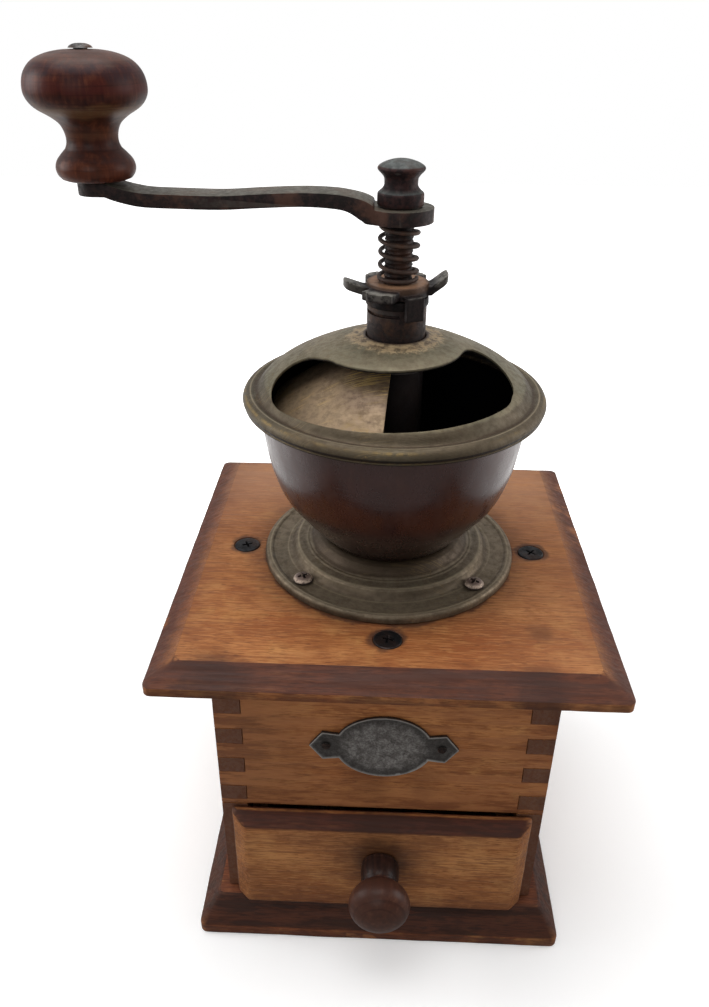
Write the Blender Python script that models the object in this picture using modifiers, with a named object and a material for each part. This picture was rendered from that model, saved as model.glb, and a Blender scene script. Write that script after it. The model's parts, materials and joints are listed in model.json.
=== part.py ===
# Manual coffee grinder: wooden box with a drawer, domed metal hopper and a hand crank, in metres, +Z up
# The origin is the middle of the underside of the base, the drawer faces -Y and the crank rests along -X

import math

import bmesh
import bpy
from mathutils import Matrix, Vector

# Clearances and cutting
GAP = 0.0003
OVERRUN = 0.002
MERGE = 0.000001
LARGE_SIDES = 32
MIDDLE_SIDES = 24
SMALL_SIDES = 12

# Box of finger-jointed boards
BOX_WIDTH = 0.1078
BOX_HEIGHT = 0.1051
BOARD = 0.0088
FRONT_BOARD_HEIGHT = 0.0617
FINGER = 0.00645
FIRST_TONGUE = 0.0019

# Base board
BASE_OVERHANG = 0.0102
BASE_THICKNESS = 0.014
BASE_EDGE = 0.0047
BASE_CHAMFER = 0.0065

# Top board
PLATE_OVERHANG = 0.0161
PLATE_THICKNESS = 0.0072
PLATE_EDGE = 0.0031
PLATE_CHAMFER = 0.0081

# Drawer
DRAWER_FRONT_WIDTH = 0.1007
DRAWER_FRONT_THICKNESS = 0.0068
DRAWER_FRONT_EDGE = 0.0026
DRAWER_BEVEL = 0.0044
DRAWER_TOP_BEVEL = 0.0032
DRAWER_SIDE_PLAY = 0.0008
DRAWER_END_PLAY = 0.003
DRAWER_WALL = 0.005
DRAWER_RIM_PLAY = 0.0071
DRAWER_BOTTOM = 0.003
KNOB_ABOVE_MIDDLE = 0.00245
DRAWER_KNOB_RADIUS = 0.010
DRAWER_KNOB_REACH = 0.0222
DRAWER_SCREW_RADIUS = 0.0019
DRAWER_SCREW_HEAD = 0.0034
DRAWER_SCREW_HEAD_HEIGHT = 0.0016
DRAWER_SCREW_GRIP = 0.009

# Name plate, left bare
BADGE_LENGTH = 0.0475
BADGE_HEIGHT = 0.0254
BADGE_THICKNESS = 0.0011
BADGE_BORDER = 0.0012
BADGE_BORDER_HEIGHT = 0.0004
BADGE_MIDDLE = 0.0294
BADGE_NAIL_SPACING = 0.0368
BADGE_NAIL_RADIUS = 0.0007
BADGE_NAIL_HEAD = 0.0014
BADGE_NAIL_LENGTH = 0.006

# Countersunk wood screws of the top board and the base
SCREW_HEAD = 0.0044
SCREW_HEAD_DEPTH = 0.0026
SCREW_SHANK = 0.0017
SCREW_LENGTH = 0.018
CROSS_LENGTH = 0.0044
CROSS_WIDTH = 0.0009
CROSS_DEPTH = 0.0010

# Brass flange under the hopper
FLANGE_RADIUS = 0.0427
FLANGE_HEIGHT = 0.0092
FLANGE_WALL = 0.0010
FLANGE_LIP = 0.0188
FLANGE_SCREW_CIRCLE = 0.0366
FLANGE_SCREW_ANGLE = math.radians(49)
FLANGE_SCREW_HEAD = 0.0030
FLANGE_SCREW_HEAD_HEIGHT = 0.0017
FLANGE_SCREW_SHANK = 0.0013
FLANGE_SCREW_LENGTH = 0.0075

# Hopper bowl and cover
BOWL_RADIUS = 0.0424
BOWL_HEIGHT = 0.0485
BOWL_MOUTH = 0.0166
BOWL_WALL = 0.0009
RIVET_CIRCLE = 0.0202
RIVET_SHANK = 0.0007
RIVET_HEAD = 0.0013
RIVET_HEAD_HEIGHT = 0.0008
COVER_RADIUS = 0.0473
COVER_HEIGHT = 0.0195
COVER_WALL = 0.0010
COVER_BEAD = 0.0022
COVER_BEAD_START = math.radians(115)
COVER_BEAD_END = math.radians(-100)
OPENING_OUTER = 0.0406
OPENING_INNER = 0.0219
OPENING_SHIFT = 0.0012
OPENING_START = math.radians(-143)
OPENING_END = math.radians(-35)
OPENING_INNER_START = math.radians(-142)
OPENING_INNER_END = math.radians(-14)

# Turning shutter under the cover
SHUTTER_RADIUS = 0.0380
SHUTTER_DROP = 0.0191
SHUTTER_HUB_DROP = 0.0016
SHUTTER_WALL = 0.0008
SHUTTER_SPAN = math.radians(172)
SHUTTER_EDGE = math.radians(-95.5)
SHUTTER_HUB_HEIGHT = 0.0048
CLIP_RADIUS = 0.0108
CLIP_HEIGHT = 0.0012

# Bearing tube and its bridge
TUBE_RADIUS = 0.0089
TUBE_TOP = 0.0880
TUBE_SLIT = 0.0010
TUBE_SLIT_DEPTH = 0.0010
TUBE_SLIT_BELOW_COLLAR = 0.0013
TUBE_SLIT_START = math.radians(-170)
TUBE_SLIT_END = math.radians(-85)
TUBE_SPIGOT = 0.0060
COLLAR_RADIUS = 0.0094
COLLAR_WALL = 0.0012
COLLAR_HEIGHT = 0.0018
BRIDGE_LENGTH = 0.0450
BRIDGE_WIDTH = 0.0130
BRIDGE_THICKNESS = 0.0030
BRIDGE_SCREW_HEAD = 0.0024
BRIDGE_SCREW_HEAD_HEIGHT = 0.0015
BRIDGE_SCREW_SHANK = 0.0011
BRIDGE_SCREW_LENGTH = 0.010

# Grinding ring and cone
RING_FLANGE = 0.0290
RING_FLANGE_HEIGHT = 0.0024
RING_RADIUS = 0.0206
RING_HEIGHT = 0.0350
RING_THROAT = 0.0174
RING_WAIST = 0.0141
RING_MOUTH = 0.0152
RING_SCREW_CIRCLE = 0.0255
RING_SCREW_HEAD = 0.0023
RING_SCREW_HEAD_HEIGHT = 0.0013
RING_SCREW_SHANK = 0.0011
RING_SCREW_LENGTH = 0.0075
CONE_RADIUS = 0.0134
CONE_TOP_RADIUS = 0.0076
CONE_HEIGHT = 0.0200
CONE_FLUTE = 0.0014
CONE_TEETH = 14
CONE_ABOVE_RING_MOUTH = 0.0030

# Shaft
SHAFT_RADIUS = 0.0042
SHAFT_CLEARANCE = 0.0003
SHAFT_TAIL = 0.0034
SHAFT_SQUARE = 0.0058
SHAFT_STUD = 0.0026
SHAFT_STUD_LENGTH = 0.0056
CONE_NUT_WIDTH = 0.0110
CONE_NUT_HEIGHT = 0.0036

# Adjusting nut with bent wings
NUT_RADIUS = 0.0092
NUT_HEIGHT = 0.0036
WING_COUNT = 6
WING_PHASE = math.radians(-117)
WING_DOWN = 1
WING_WIDTH = 0.0068
WING_REACH = 0.0147
WING_BEND = 0.0098
WING_THICKNESS = 0.0022
WING_TIP_CORNER = 0.0028
WING_RISE = 0.0037
TAB_LENGTH = 0.0054
TAB_THICKNESS = 0.0017

# Spring
WIRE_RADIUS = 0.00065
SPRING_RADIUS = 0.00545
SPRING_LENGTH = 0.0172
SPRING_TURNS = 5
SPRING_TURN_POINTS = 10

# Crank
ARM_LENGTH = 0.0850
ARM_WIDTH = 0.0118
ARM_THICKNESS = 0.0037
ARM_RISE = 0.0057
ARM_FILLET = 0.0075
HUB_RADIUS = 0.0096
HUB_THICKNESS = 0.0039
PAD_RADIUS = 0.0058
CAP_RADIUS = 0.0067
CAP_HEIGHT = 0.0124
KNOB_RADIUS = 0.01625
KNOB_HEIGHT = 0.0320
PIN_RADIUS = 0.0019
PIN_HEAD_RADIUS = 0.0033
PIN_HEAD_HEIGHT = 0.0012
PIN_RIVET_RADIUS = 0.0032
PIN_RIVET_HEIGHT = 0.0010

# Heights that follow from the sizes above
BOX_BOTTOM = BASE_THICKNESS
BOX_TOP = BOX_BOTTOM + BOX_HEIGHT
PLATE_TOP = BOX_TOP + PLATE_THICKNESS
BOX_HALF = BOX_WIDTH / 2
BASE_HALF = BOX_HALF + BASE_OVERHANG
PLATE_HALF = BOX_HALF + PLATE_OVERHANG
BOX_INSIDE = BOX_HALF - BOARD
FRONT_BOARD_BOTTOM = BOX_TOP - FRONT_BOARD_HEIGHT
DRAWER_OPENING = FRONT_BOARD_BOTTOM - BOX_BOTTOM
DRAWER_HEIGHT = DRAWER_OPENING - GAP - DRAWER_RIM_PLAY
KNOB_ABOVE_BASE = (DRAWER_OPENING + GAP) / 2 + KNOB_ABOVE_MIDDLE
FLANGE_BOTTOM = PLATE_TOP + GAP
BOWL_BOTTOM = PLATE_TOP + FLANGE_HEIGHT + GAP
BOWL_TOP = BOWL_BOTTOM + BOWL_HEIGHT
COVER_TOP = BOWL_TOP + COVER_HEIGHT
RING_TOP = PLATE_TOP + GAP + RING_FLANGE_HEIGHT
RING_BOTTOM = RING_TOP - RING_HEIGHT
BRIDGE_BOTTOM = RING_TOP + GAP
BRIDGE_TOP = BRIDGE_BOTTOM + BRIDGE_THICKNESS
TUBE_BOTTOM = BRIDGE_TOP + GAP
TUBE_END = PLATE_TOP + TUBE_TOP
TUBE_BORE = SHAFT_RADIUS + SHAFT_CLEARANCE
COLLAR_TOP = TUBE_END + COLLAR_HEIGHT
NUT_BOTTOM = COLLAR_TOP + GAP
NUT_TOP = NUT_BOTTOM + NUT_HEIGHT
HUB_BOTTOM = NUT_TOP + SPRING_LENGTH
HUB_TOP = HUB_BOTTOM + HUB_THICKNESS
CONE_BOTTOM = RING_BOTTOM + CONE_ABOVE_RING_MOUTH
CONE_TOP = CONE_BOTTOM + CONE_HEIGHT
PAD_TOP = HUB_TOP + ARM_RISE
KNOB_BOTTOM = PAD_TOP + GAP
BOARD_MIDDLE = BOX_HALF - BOARD / 2
BADGE_CENTRE = FRONT_BOARD_BOTTOM + BADGE_MIDDLE

# Outlines as shares of the sizes that they follow
bowl_shares = ((1.0, 1.0), (0.995, 0.93), (0.968, 0.76), (0.927, 0.56), (0.849, 0.36),
               (0.745, 0.23), (0.650, 0.13), (0.565, 0.05), (0.510, 0.0))
cover_shares = ((0.203, 1.0), (0.317, 0.955), (0.465, 0.83), (0.634, 0.645), (0.803, 0.395),
                (0.880, 0.225), (0.918, 0.150))
flange_shares = ((0.440, 1.0), (0.525, 1.0), (0.567, 0.93), (0.607, 0.85), (0.638, 0.68), (0.672, 0.59),
                 (0.726, 0.565), (0.751, 0.52), (0.762, 0.39), (0.784, 0.28), (0.82, 0.25), (0.932, 0.25),
                 (0.953, 0.29), (0.984, 0.28), (1.0, 0.22))
shutter_shares = ((0.27, 0.0), (0.31, 0.188), (0.42, 0.294), (0.56, 0.432), (0.70, 0.602), (0.85, 0.797),
                  (1.0, 1.0))
cap_shares = ((0.0, 1.0), (0.36, 0.975), (0.70, 0.92), (0.93, 0.85), (1.0, 0.80), (0.93, 0.73),
              (0.79, 0.65), (0.71, 0.57), (0.71, 0.46), (0.80, 0.37), (0.96, 0.29), (0.985, 0.26),
              (0.985, 0.03), (0.95, 0.0))
knob_shares = ((0.30, 1.0), (0.56, 0.975), (0.79, 0.925), (0.94, 0.84), (1.0, 0.745), (0.98, 0.66),
               (0.86, 0.575), (0.62, 0.50), (0.485, 0.43), (0.43, 0.36), (0.44, 0.28), (0.55, 0.21),
               (0.65, 0.15), (0.668, 0.09), (0.62, 0.035), (0.53, 0.0))
drawer_knob_shares = ((0.0, 1.0), (0.32, 0.983), (0.60, 0.935), (0.84, 0.855), (0.97, 0.76), (1.0, 0.68),
                      (0.965, 0.585), (0.84, 0.50), (0.67, 0.43), (0.55, 0.39), (0.585, 0.34),
                      (0.63, 0.24), (0.64, 0.12), (0.61, 0.03), (0.57, 0.0))
arm_top_shares = ((0.0, 0.0), (0.078, 0.0), (0.09, 0.20), (0.12, 0.42), (0.173, 0.60), (0.228, 0.69), (0.325, 0.72),
                  (0.46, 0.63), (0.59, 0.51), (0.74, 0.53), (0.835, 0.565), (0.886, 0.67), (0.935, 0.84),
                  (0.965, 1.0))
arm_under_shares = ((0.0, 0.0), (0.10, 0.0), (0.125, 0.14), (0.173, 0.54), (0.228, 0.68), (0.325, 0.73),
                    (0.46, 0.64), (0.59, 0.53), (0.74, 0.545), (0.835, 0.58), (0.886, 0.68), (0.935, 0.85),
                    (0.965, 1.0))
badge_shares = ((1.0, 0.0), (0.825, 0.45), (0.60, 0.40))
badge_arc_share = 0.655
wing_turn_shares = (0.0, -0.1, 0.0, 0.0, 0.0, 0.2)
wing_width_shares = (1.4, 1.0, 1.12, 1.0, 1.0, 0.95)
wing_reach_shares = (1.0, 1.0, 1.0, 0.95, 0.95, 1.1)
wing_rise_shares = (0.12, 0.0, 1.0, 0.08, 0.08, 0.62)
# The ends of the cover's opening: degrees, and the share of the way from the inner side to the outer one
right_end_shares = ((-27.5, 0.955), (-21.0, 0.905), (-15.5, 0.81), (-9.5, 0.67), (-4.2, 0.52), (-0.8, 0.36),
                    (-3.2, 0.12), (-9.0, 0.03))
left_end_shares = ((-153.0, 0.06), (-163.0, 0.17), (-167.8, 0.36), (-167.0, 0.58), (-162.5, 0.77),
                   (-156.5, 0.89), (-149.5, 0.97))
TIP_SHARE = 0.4


def clear_scene():
    for thing in list(bpy.data.objects):
        bpy.data.objects.remove(thing, do_unlink=True)
    for group in list(bpy.data.collections):
        bpy.data.collections.remove(group)


def collection(name):
    group = bpy.data.collections.new(name)
    bpy.context.scene.collection.children.link(group)
    return group


def material(name, colour, roughness, metallic):
    look = bpy.data.materials.new(name)
    look.use_nodes = True
    shader = look.node_tree.nodes["Principled BSDF"]
    shader.inputs["Base Color"].default_value = (*colour, 1.0)
    shader.inputs["Roughness"].default_value = roughness
    shader.inputs["Metallic"].default_value = metallic
    look.diffuse_color = (*colour, 1.0)
    return look


clear_scene()
PARTS = collection("coffee_grinder")
CUTTERS = collection("coffee_grinder_cutters")

# Finishes, as colour, roughness and metallic value
FINISHES = {
    "wood": ((0.42, 0.20, 0.075), 0.50, 0.0),
    "drawer_wood": ((0.50, 0.29, 0.13), 0.65, 0.0),
    "knob_wood": ((0.13, 0.035, 0.018), 0.30, 0.0),
    "brass": ((0.26, 0.22, 0.14), 0.42, 0.9),
    "bowl_metal": ((0.075, 0.033, 0.020), 0.35, 0.6),
    "iron": ((0.085, 0.055, 0.040), 0.62, 0.8),
    "steel": ((0.20, 0.17, 0.15), 0.45, 0.9),
    "black_steel": ((0.025, 0.025, 0.027), 0.45, 0.7),
    "pewter": ((0.22, 0.22, 0.22), 0.48, 0.85),
}


def parent_empty(name, place=(0, 0, 0)):
    empty = bpy.data.objects.new(name, None)
    empty.location = place
    PARTS.objects.link(empty)
    return empty


HOUSING = parent_empty("housing")
DRAWER = parent_empty("drawer")
CRANK = parent_empty("crank")
NUT_TURN = parent_empty("nut_turn")
KNOB_SPIN = parent_empty("knob_spin", (-ARM_LENGTH, 0, 0))
SHUTTER_TURN = parent_empty("shutter_turn")


def place(thing, finish, parent):
    """A finish of None makes the object a cutter, which is hidden."""
    if finish is None:
        CUTTERS.objects.link(thing)
        thing.hide_render = True
        thing.display_type = "WIRE"
        return thing
    PARTS.objects.link(thing)
    colour, roughness, metallic = FINISHES[finish]
    thing.data.materials.append(material(thing.name, colour, roughness, metallic))
    bpy.context.view_layer.update()
    thing.parent = parent
    thing.matrix_parent_inverse = parent.matrix_world.inverted()
    return thing


def box(name, low, high, finish=None, parent=None):
    low = Vector(low)
    high = Vector(high)
    mesh = bpy.data.meshes.new(name)
    work = bmesh.new()
    bmesh.ops.create_cube(work, size=1.0, matrix=Matrix.Diagonal((*(high - low), 1.0)))
    work.to_mesh(mesh)
    work.free()
    thing = bpy.data.objects.new(name, mesh)
    thing.location = (low + high) / 2
    return place(thing, finish, parent)


def chamfered_board(name, half, bottom, edge, thickness, chamfer, finish, parent):
    """A square board whose top face is drawn in, so that its four upper edges slope."""
    mesh = bpy.data.meshes.new(name)
    work = bmesh.new()
    bmesh.ops.create_cube(work, size=1.0, matrix=Matrix.Diagonal((2 * half, 2 * half, edge, 1.0)))
    top = [face for face in work.faces if face.normal.z > TIP_SHARE]
    grown = bmesh.ops.extrude_face_region(work, geom=top)["geom"]
    bmesh.ops.delete(work, geom=top, context="FACES_ONLY")
    corners = [item for item in grown if isinstance(item, bmesh.types.BMVert)]
    for corner in corners:
        corner.co.z += thickness - edge
        corner.co.x -= math.copysign(chamfer, corner.co.x)
        corner.co.y -= math.copysign(chamfer, corner.co.y)
    bmesh.ops.recalc_face_normals(work, faces=work.faces)
    work.to_mesh(mesh)
    work.free()
    thing = bpy.data.objects.new(name, mesh)
    thing.location = (0, 0, bottom + edge / 2)
    return place(thing, finish, parent)


def turned(name, profile, sides, finish=None, parent=None, loop=False, wall=0.0):
    """Turn a profile of (radius, height) points about Z. It runs down the outer side, top to bottom."""
    mesh = bpy.data.meshes.new(name)
    points = [(radius, 0, height) for radius, height in profile]
    edges = [(i, i + 1) for i in range(len(points) - 1)]
    if loop:
        edges.append((len(points) - 1, 0))
    mesh.from_pydata(points, edges, [])
    thing = bpy.data.objects.new(name, mesh)
    place(thing, finish, parent)
    screw = thing.modifiers.new("turn", "SCREW")
    screw.angle = 2 * math.pi
    screw.steps = sides
    screw.render_steps = sides
    screw.use_merge_vertices = True
    screw.merge_threshold = MERGE
    screw.use_smooth_shade = True
    if wall:
        shell = thing.modifiers.new("wall", "SOLIDIFY")
        shell.thickness = wall
        shell.offset = -1
        shell.use_even_offset = True
    return thing


def as_mesh(curve_object, finish, parent):
    """Make a curve object a mesh with welded caps, so that it can be cut or can cut."""
    CUTTERS.objects.link(curve_object)
    bpy.context.view_layer.update()
    seen = curve_object.evaluated_get(bpy.context.evaluated_depsgraph_get())
    mesh = bpy.data.meshes.new_from_object(seen)
    work = bmesh.new()
    work.from_mesh(mesh)
    bmesh.ops.remove_doubles(work, verts=work.verts, dist=MERGE)
    bmesh.ops.recalc_face_normals(work, faces=work.faces)
    work.to_mesh(mesh)
    work.free()
    mesh.materials.clear()
    name = curve_object.name
    seat = curve_object.matrix_world.copy()
    bpy.data.objects.remove(curve_object)
    thing = bpy.data.objects.new(name, mesh)
    thing.matrix_world = seat
    return place(thing, finish, parent)


def prism(name, outlines, bottom, top, finish=None, parent=None, seat=None):
    """A flat outline, with any holes as further outlines, extruded from bottom to top."""
    curve = bpy.data.curves.new(name, "CURVE")
    curve.dimensions = "2D"
    curve.fill_mode = "BOTH"
    curve.extrude = (top - bottom) / 2
    for outline in outlines:
        spline = curve.splines.new("POLY")
        spline.points.add(len(outline) - 1)
        for point, (x, y) in zip(spline.points, outline):
            point.co = (x, y, 0, 1)
        spline.use_cyclic_u = True
    thing = bpy.data.objects.new(name, curve)
    lift = Matrix.Translation((0, 0, (top + bottom) / 2))
    thing.matrix_world = (seat or Matrix.Identity(4)) @ lift
    return as_mesh(thing, finish, parent)


def boolean(target, tool, operation):
    step = target.modifiers.new(tool.name, "BOOLEAN")
    step.operation = operation
    step.solver = "EXACT"
    step.object = tool


def cut(target, *tools):
    for tool in tools:
        boolean(target, tool, "DIFFERENCE")


def join(target, *tools):
    for tool in tools:
        boolean(target, tool, "UNION")


def keep_common(target, *tools):
    for tool in tools:
        boolean(target, tool, "INTERSECT")


def arc(radius, start, end, steps, centre=(0, 0)):
    turns = [start + (end - start) * i / steps for i in range(steps + 1)]
    return [(centre[0] + radius * math.cos(a), centre[1] + radius * math.sin(a)) for a in turns]


def circle(radius, sides, centre=(0, 0)):
    return arc(radius, 0, 2 * math.pi, sides, centre)[:-1]


def rounded(before, corner, after, steps):
    """A corner rounded between two points beside it."""
    points = []
    for i in range(steps + 1):
        t = i / steps
        a, b, c = (1 - t) ** 2, 2 * t * (1 - t), t * t
        points.append((a * before[0] + b * corner[0] + c * after[0], a * before[1] + b * corner[1] + c * after[1]))
    return points


def polar(radius, angle):
    return (radius * math.cos(angle), radius * math.sin(angle))


def scaled(shares, radius, height, bottom=0.0):
    return [(radius * across, bottom + height * up) for across, up in shares]


def tool_at(tool, spot, turn=(0, 0, 0)):
    tool.location = spot
    tool.rotation_euler = turn
    return tool


def bolt_profile(head, head_height, shank, length, countersunk, grown=0.0):
    """Profile of a screw whose seat is at height 0: a domed head above it, or a sunk head below it."""
    tip = shank * TIP_SHARE
    if countersunk:
        return [(0, grown), (head + grown, grown), (shank + grown, -head_height), (shank + grown, tip - length),
                (tip + grown, -length - grown), (0, -length - grown)]
    return [(0, head_height), (head * (1 - TIP_SHARE), head_height), (head, head_height * TIP_SHARE), (head, 0),
            (shank, 0), (shank, tip - length), (tip, -length), (0, -length)]


def cross_slot(name, seat, turn, length, width, depth):
    """Two crossed slots sunk in a screw head, as two cutters."""
    half = length / 2
    first = box(name + "_a", (-half, -width / 2, -depth), (half, width / 2, OVERRUN))
    second = box(name + "_b", (-width / 2, -half, -depth), (width / 2, half, OVERRUN))
    for tool in (first, second):
        tool.matrix_world = seat @ Matrix.Rotation(turn, 4, "Z") @ Matrix.Translation(tool.location)
    return first, second


def base_board():
    base = chamfered_board("base_plate", BASE_HALF, 0, BASE_EDGE, BASE_THICKNESS, BASE_CHAMFER,
                           "wood", HOUSING)
    return base


def finger_levels(bottom, first, top):
    """Lower and upper ends of the side boards' fingers in a board that starts with its own tongue."""
    levels = []
    low = bottom + first
    while low < top:
        levels.append((low, min(low + FINGER, top + OVERRUN)))
        low += 2 * FINGER
    return levels


def boards():
    """Two sides, a front and a back, with fingers at the four corners."""
    low, high = BOX_BOTTOM + GAP, BOX_TOP - GAP
    front = box("front_board", (-BOX_HALF, -BOX_HALF, FRONT_BOARD_BOTTOM), (BOX_HALF, BOX_INSIDE * -1, high),
                "wood", HOUSING)
    back = box("back_board", (-BOX_HALF, BOX_INSIDE, low), (BOX_HALF, BOX_HALF, high), "wood", HOUSING)
    sides = [box("side_board_left", (-BOX_HALF, -BOX_HALF, low), (-BOX_INSIDE, BOX_HALF, high), "wood", HOUSING),
             box("side_board_right", (BOX_INSIDE, -BOX_HALF, low), (BOX_HALF, BOX_HALF, high), "wood", HOUSING)]
    half = GAP / 2
    beyond = BOX_HALF + OVERRUN
    for board, first, bottom, facing in ((front, FIRST_TONGUE, FRONT_BOARD_BOTTOM, -1), (back, FINGER, low, 1)):
        fingers = finger_levels(bottom, first, high)
        near, far = sorted((facing * beyond, facing * (BOX_INSIDE - GAP)))
        for index, (start, end) in enumerate(fingers):
            for hand, side in ((-1, "left"), (1, "right")):
                x1, x2 = sorted((hand * beyond, hand * (BOX_INSIDE - GAP)))
                socket = box(f"{board.name}_socket_{side}_{index}", (x1, near, start - half), (x2, far, end + half))
                cut(board, socket)
        tongues = [bottom - GAP] + [end - half for _, end in fingers]
        stops = [start + half for start, _ in fingers] + [high + OVERRUN]
        for index, (start, stop) in enumerate(zip(tongues, stops)):
            if start < high and stop > start:
                notch = box(f"{board.name}_notch_{index}", (-beyond, near, start), (beyond, far, stop))
                cut(sides[0], notch)
                cut(sides[1], notch)
    return front, back, sides


def top_board():
    plate = chamfered_board("top_plate", PLATE_HALF, BOX_TOP, PLATE_EDGE, PLATE_THICKNESS,
                            PLATE_CHAMFER, "wood", HOUSING)
    bore = turned("plate_bore", [(0, PLATE_TOP + OVERRUN), (RING_RADIUS + 2 * GAP, PLATE_TOP + OVERRUN),
                                 (RING_RADIUS + 2 * GAP, BOX_TOP - OVERRUN), (0, BOX_TOP - OVERRUN)], LARGE_SIDES)
    cut(plate, bore)
    return plate


def countersunk_screw(name, spot, turn, boards_cut, slot_turn):
    """A wood screw with a crossed head, its holes sunk in the boards that it passes."""
    seat = Matrix.Translation(spot) @ turn
    screw = turned(name, bolt_profile(SCREW_HEAD, SCREW_HEAD_DEPTH, SCREW_SHANK, SCREW_LENGTH, True),
                   SMALL_SIDES, "black_steel", HOUSING)
    screw.matrix_world = seat
    cut(screw, *cross_slot(name + "_slot", seat, slot_turn, CROSS_LENGTH, CROSS_WIDTH, CROSS_DEPTH))
    hole = turned(name + "_hole", bolt_profile(SCREW_HEAD, SCREW_HEAD_DEPTH, SCREW_SHANK, SCREW_LENGTH, True, GAP),
                  SMALL_SIDES)
    hole.matrix_world = seat
    for board in boards_cut:
        cut(board, hole)
    return screw


def box_screws(plate, base, front, back, sides):
    upright = Matrix.Identity(4)
    over = Matrix.Rotation(math.pi, 4, "X")
    for name, spot, board, turn in (("left", (-BOARD_MIDDLE, 0), sides[0], 0.4),
                                    ("right", (BOARD_MIDDLE, 0), sides[1], 0.9),
                                    ("front", (0, -BOARD_MIDDLE), front, 1.3),
                                    ("back", (0, BOARD_MIDDLE), back, 0.2)):
        countersunk_screw("plate_screw_" + name, (*spot, PLATE_TOP), upright, (plate, board), turn)
    reach = BOX_HALF * TIP_SHARE
    for name, spot, board in (("left_front", (-BOARD_MIDDLE, -reach), sides[0]),
                              ("left_back", (-BOARD_MIDDLE, reach), sides[0]),
                              ("right_front", (BOARD_MIDDLE, -reach), sides[1]),
                              ("right_back", (BOARD_MIDDLE, reach), sides[1])):
        countersunk_screw("base_screw_" + name, (*spot, GAP), over, (base, board), 0)


def drawer():
    """The overlapping front with its sloped edges, and a box of thin boards behind it."""
    back = -BOX_HALF - GAP
    half = DRAWER_FRONT_WIDTH / 2
    low = BOX_BOTTOM + 2 * GAP
    high = FRONT_BOARD_BOTTOM - GAP
    mesh = bpy.data.meshes.new("drawer_front")
    work = bmesh.new()
    size = (DRAWER_FRONT_WIDTH, DRAWER_FRONT_EDGE, high - low)
    bmesh.ops.create_cube(work, size=1.0, matrix=Matrix.Diagonal((*size, 1.0)))
    face = [f for f in work.faces if f.normal.y < -TIP_SHARE]
    grown = bmesh.ops.extrude_face_region(work, geom=face)["geom"]
    bmesh.ops.delete(work, geom=face, context="FACES_ONLY")
    for corner in (item for item in grown if isinstance(item, bmesh.types.BMVert)):
        corner.co.y -= DRAWER_FRONT_THICKNESS - DRAWER_FRONT_EDGE
        corner.co.x -= math.copysign(DRAWER_BEVEL, corner.co.x)
        if corner.co.z > 0:
            corner.co.z -= DRAWER_TOP_BEVEL
    bmesh.ops.recalc_face_normals(work, faces=work.faces)
    work.to_mesh(mesh)
    work.free()
    front = bpy.data.objects.new("drawer_front", mesh)
    front.location = (0, back - DRAWER_FRONT_EDGE / 2, (low + high) / 2)
    place(front, "wood", DRAWER)

    outer = BOX_INSIDE - DRAWER_SIDE_PLAY
    inner = outer - DRAWER_WALL
    start = -BOX_HALF
    end = BOX_INSIDE - DRAWER_END_PLAY
    floor = BOX_BOTTOM + GAP
    rim = floor + DRAWER_HEIGHT
    box("drawer_side_left", (-outer, start, floor), (-inner, end, rim), "drawer_wood", DRAWER)
    box("drawer_side_right", (inner, start, floor), (outer, end, rim), "drawer_wood", DRAWER)
    box("drawer_back", (-inner + GAP, end - DRAWER_WALL, floor), (inner - GAP, end, rim), "drawer_wood", DRAWER)
    box("drawer_bottom", (-inner + GAP, start, floor), (inner - GAP, end - DRAWER_WALL - GAP, floor + DRAWER_BOTTOM),
        "drawer_wood", DRAWER)
    return front


def drawer_pull(front):
    """A turned ball on a short neck, held from inside by a screw. Its axis runs along -Y."""
    height = BOX_BOTTOM + KNOB_ABOVE_BASE
    face = -BOX_HALF - GAP - DRAWER_FRONT_THICKNESS
    outward = Matrix.Rotation(math.pi / 2, 4, "X")
    pull = turned("drawer_knob", scaled(drawer_knob_shares, DRAWER_KNOB_RADIUS, DRAWER_KNOB_REACH, GAP)
                  + [(0, GAP)], MIDDLE_SIDES, "knob_wood", DRAWER)
    pull.matrix_world = Matrix.Translation((0, face, height)) @ outward
    length = DRAWER_FRONT_THICKNESS + DRAWER_SCREW_GRIP
    profile = bolt_profile(DRAWER_SCREW_HEAD, DRAWER_SCREW_HEAD_HEIGHT, DRAWER_SCREW_RADIUS, length, False)
    screw = turned("drawer_knob_screw", profile, SMALL_SIDES, "steel", DRAWER)
    seat = Matrix.Translation((0, -BOX_HALF, height)) @ Matrix.Rotation(-math.pi / 2, 4, "X")
    screw.matrix_world = seat
    bore_radius = DRAWER_SCREW_RADIUS + GAP
    bore = turned("drawer_knob_bore", [(0, OVERRUN), (bore_radius, OVERRUN), (bore_radius, -length - GAP),
                                       (0, -length - GAP)], SMALL_SIDES)
    bore.matrix_world = seat
    cut(pull, bore)
    cut(front, bore)


def badge_outline(margin):
    """Half-oval middle with two pointed ears, drawn in by a margin."""
    across = BADGE_LENGTH / 2 - margin
    up = BADGE_HEIGHT / 2 - margin
    tip, shoulder, notch = ((across * x, up * z) for x, z in badge_shares)
    middle = across * badge_arc_share
    start = math.asin(notch[1] / up)
    crown = [(middle * math.cos(a), up * math.sin(a))
             for a in (start + (math.pi - 2 * start) * i / SMALL_SIDES for i in range(SMALL_SIDES + 1))]
    upper = [tip, shoulder] + crown + [(-shoulder[0], shoulder[1]), (-tip[0], 0)]
    return upper + [(x, -z) for x, z in reversed(upper[1:-1])]


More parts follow.
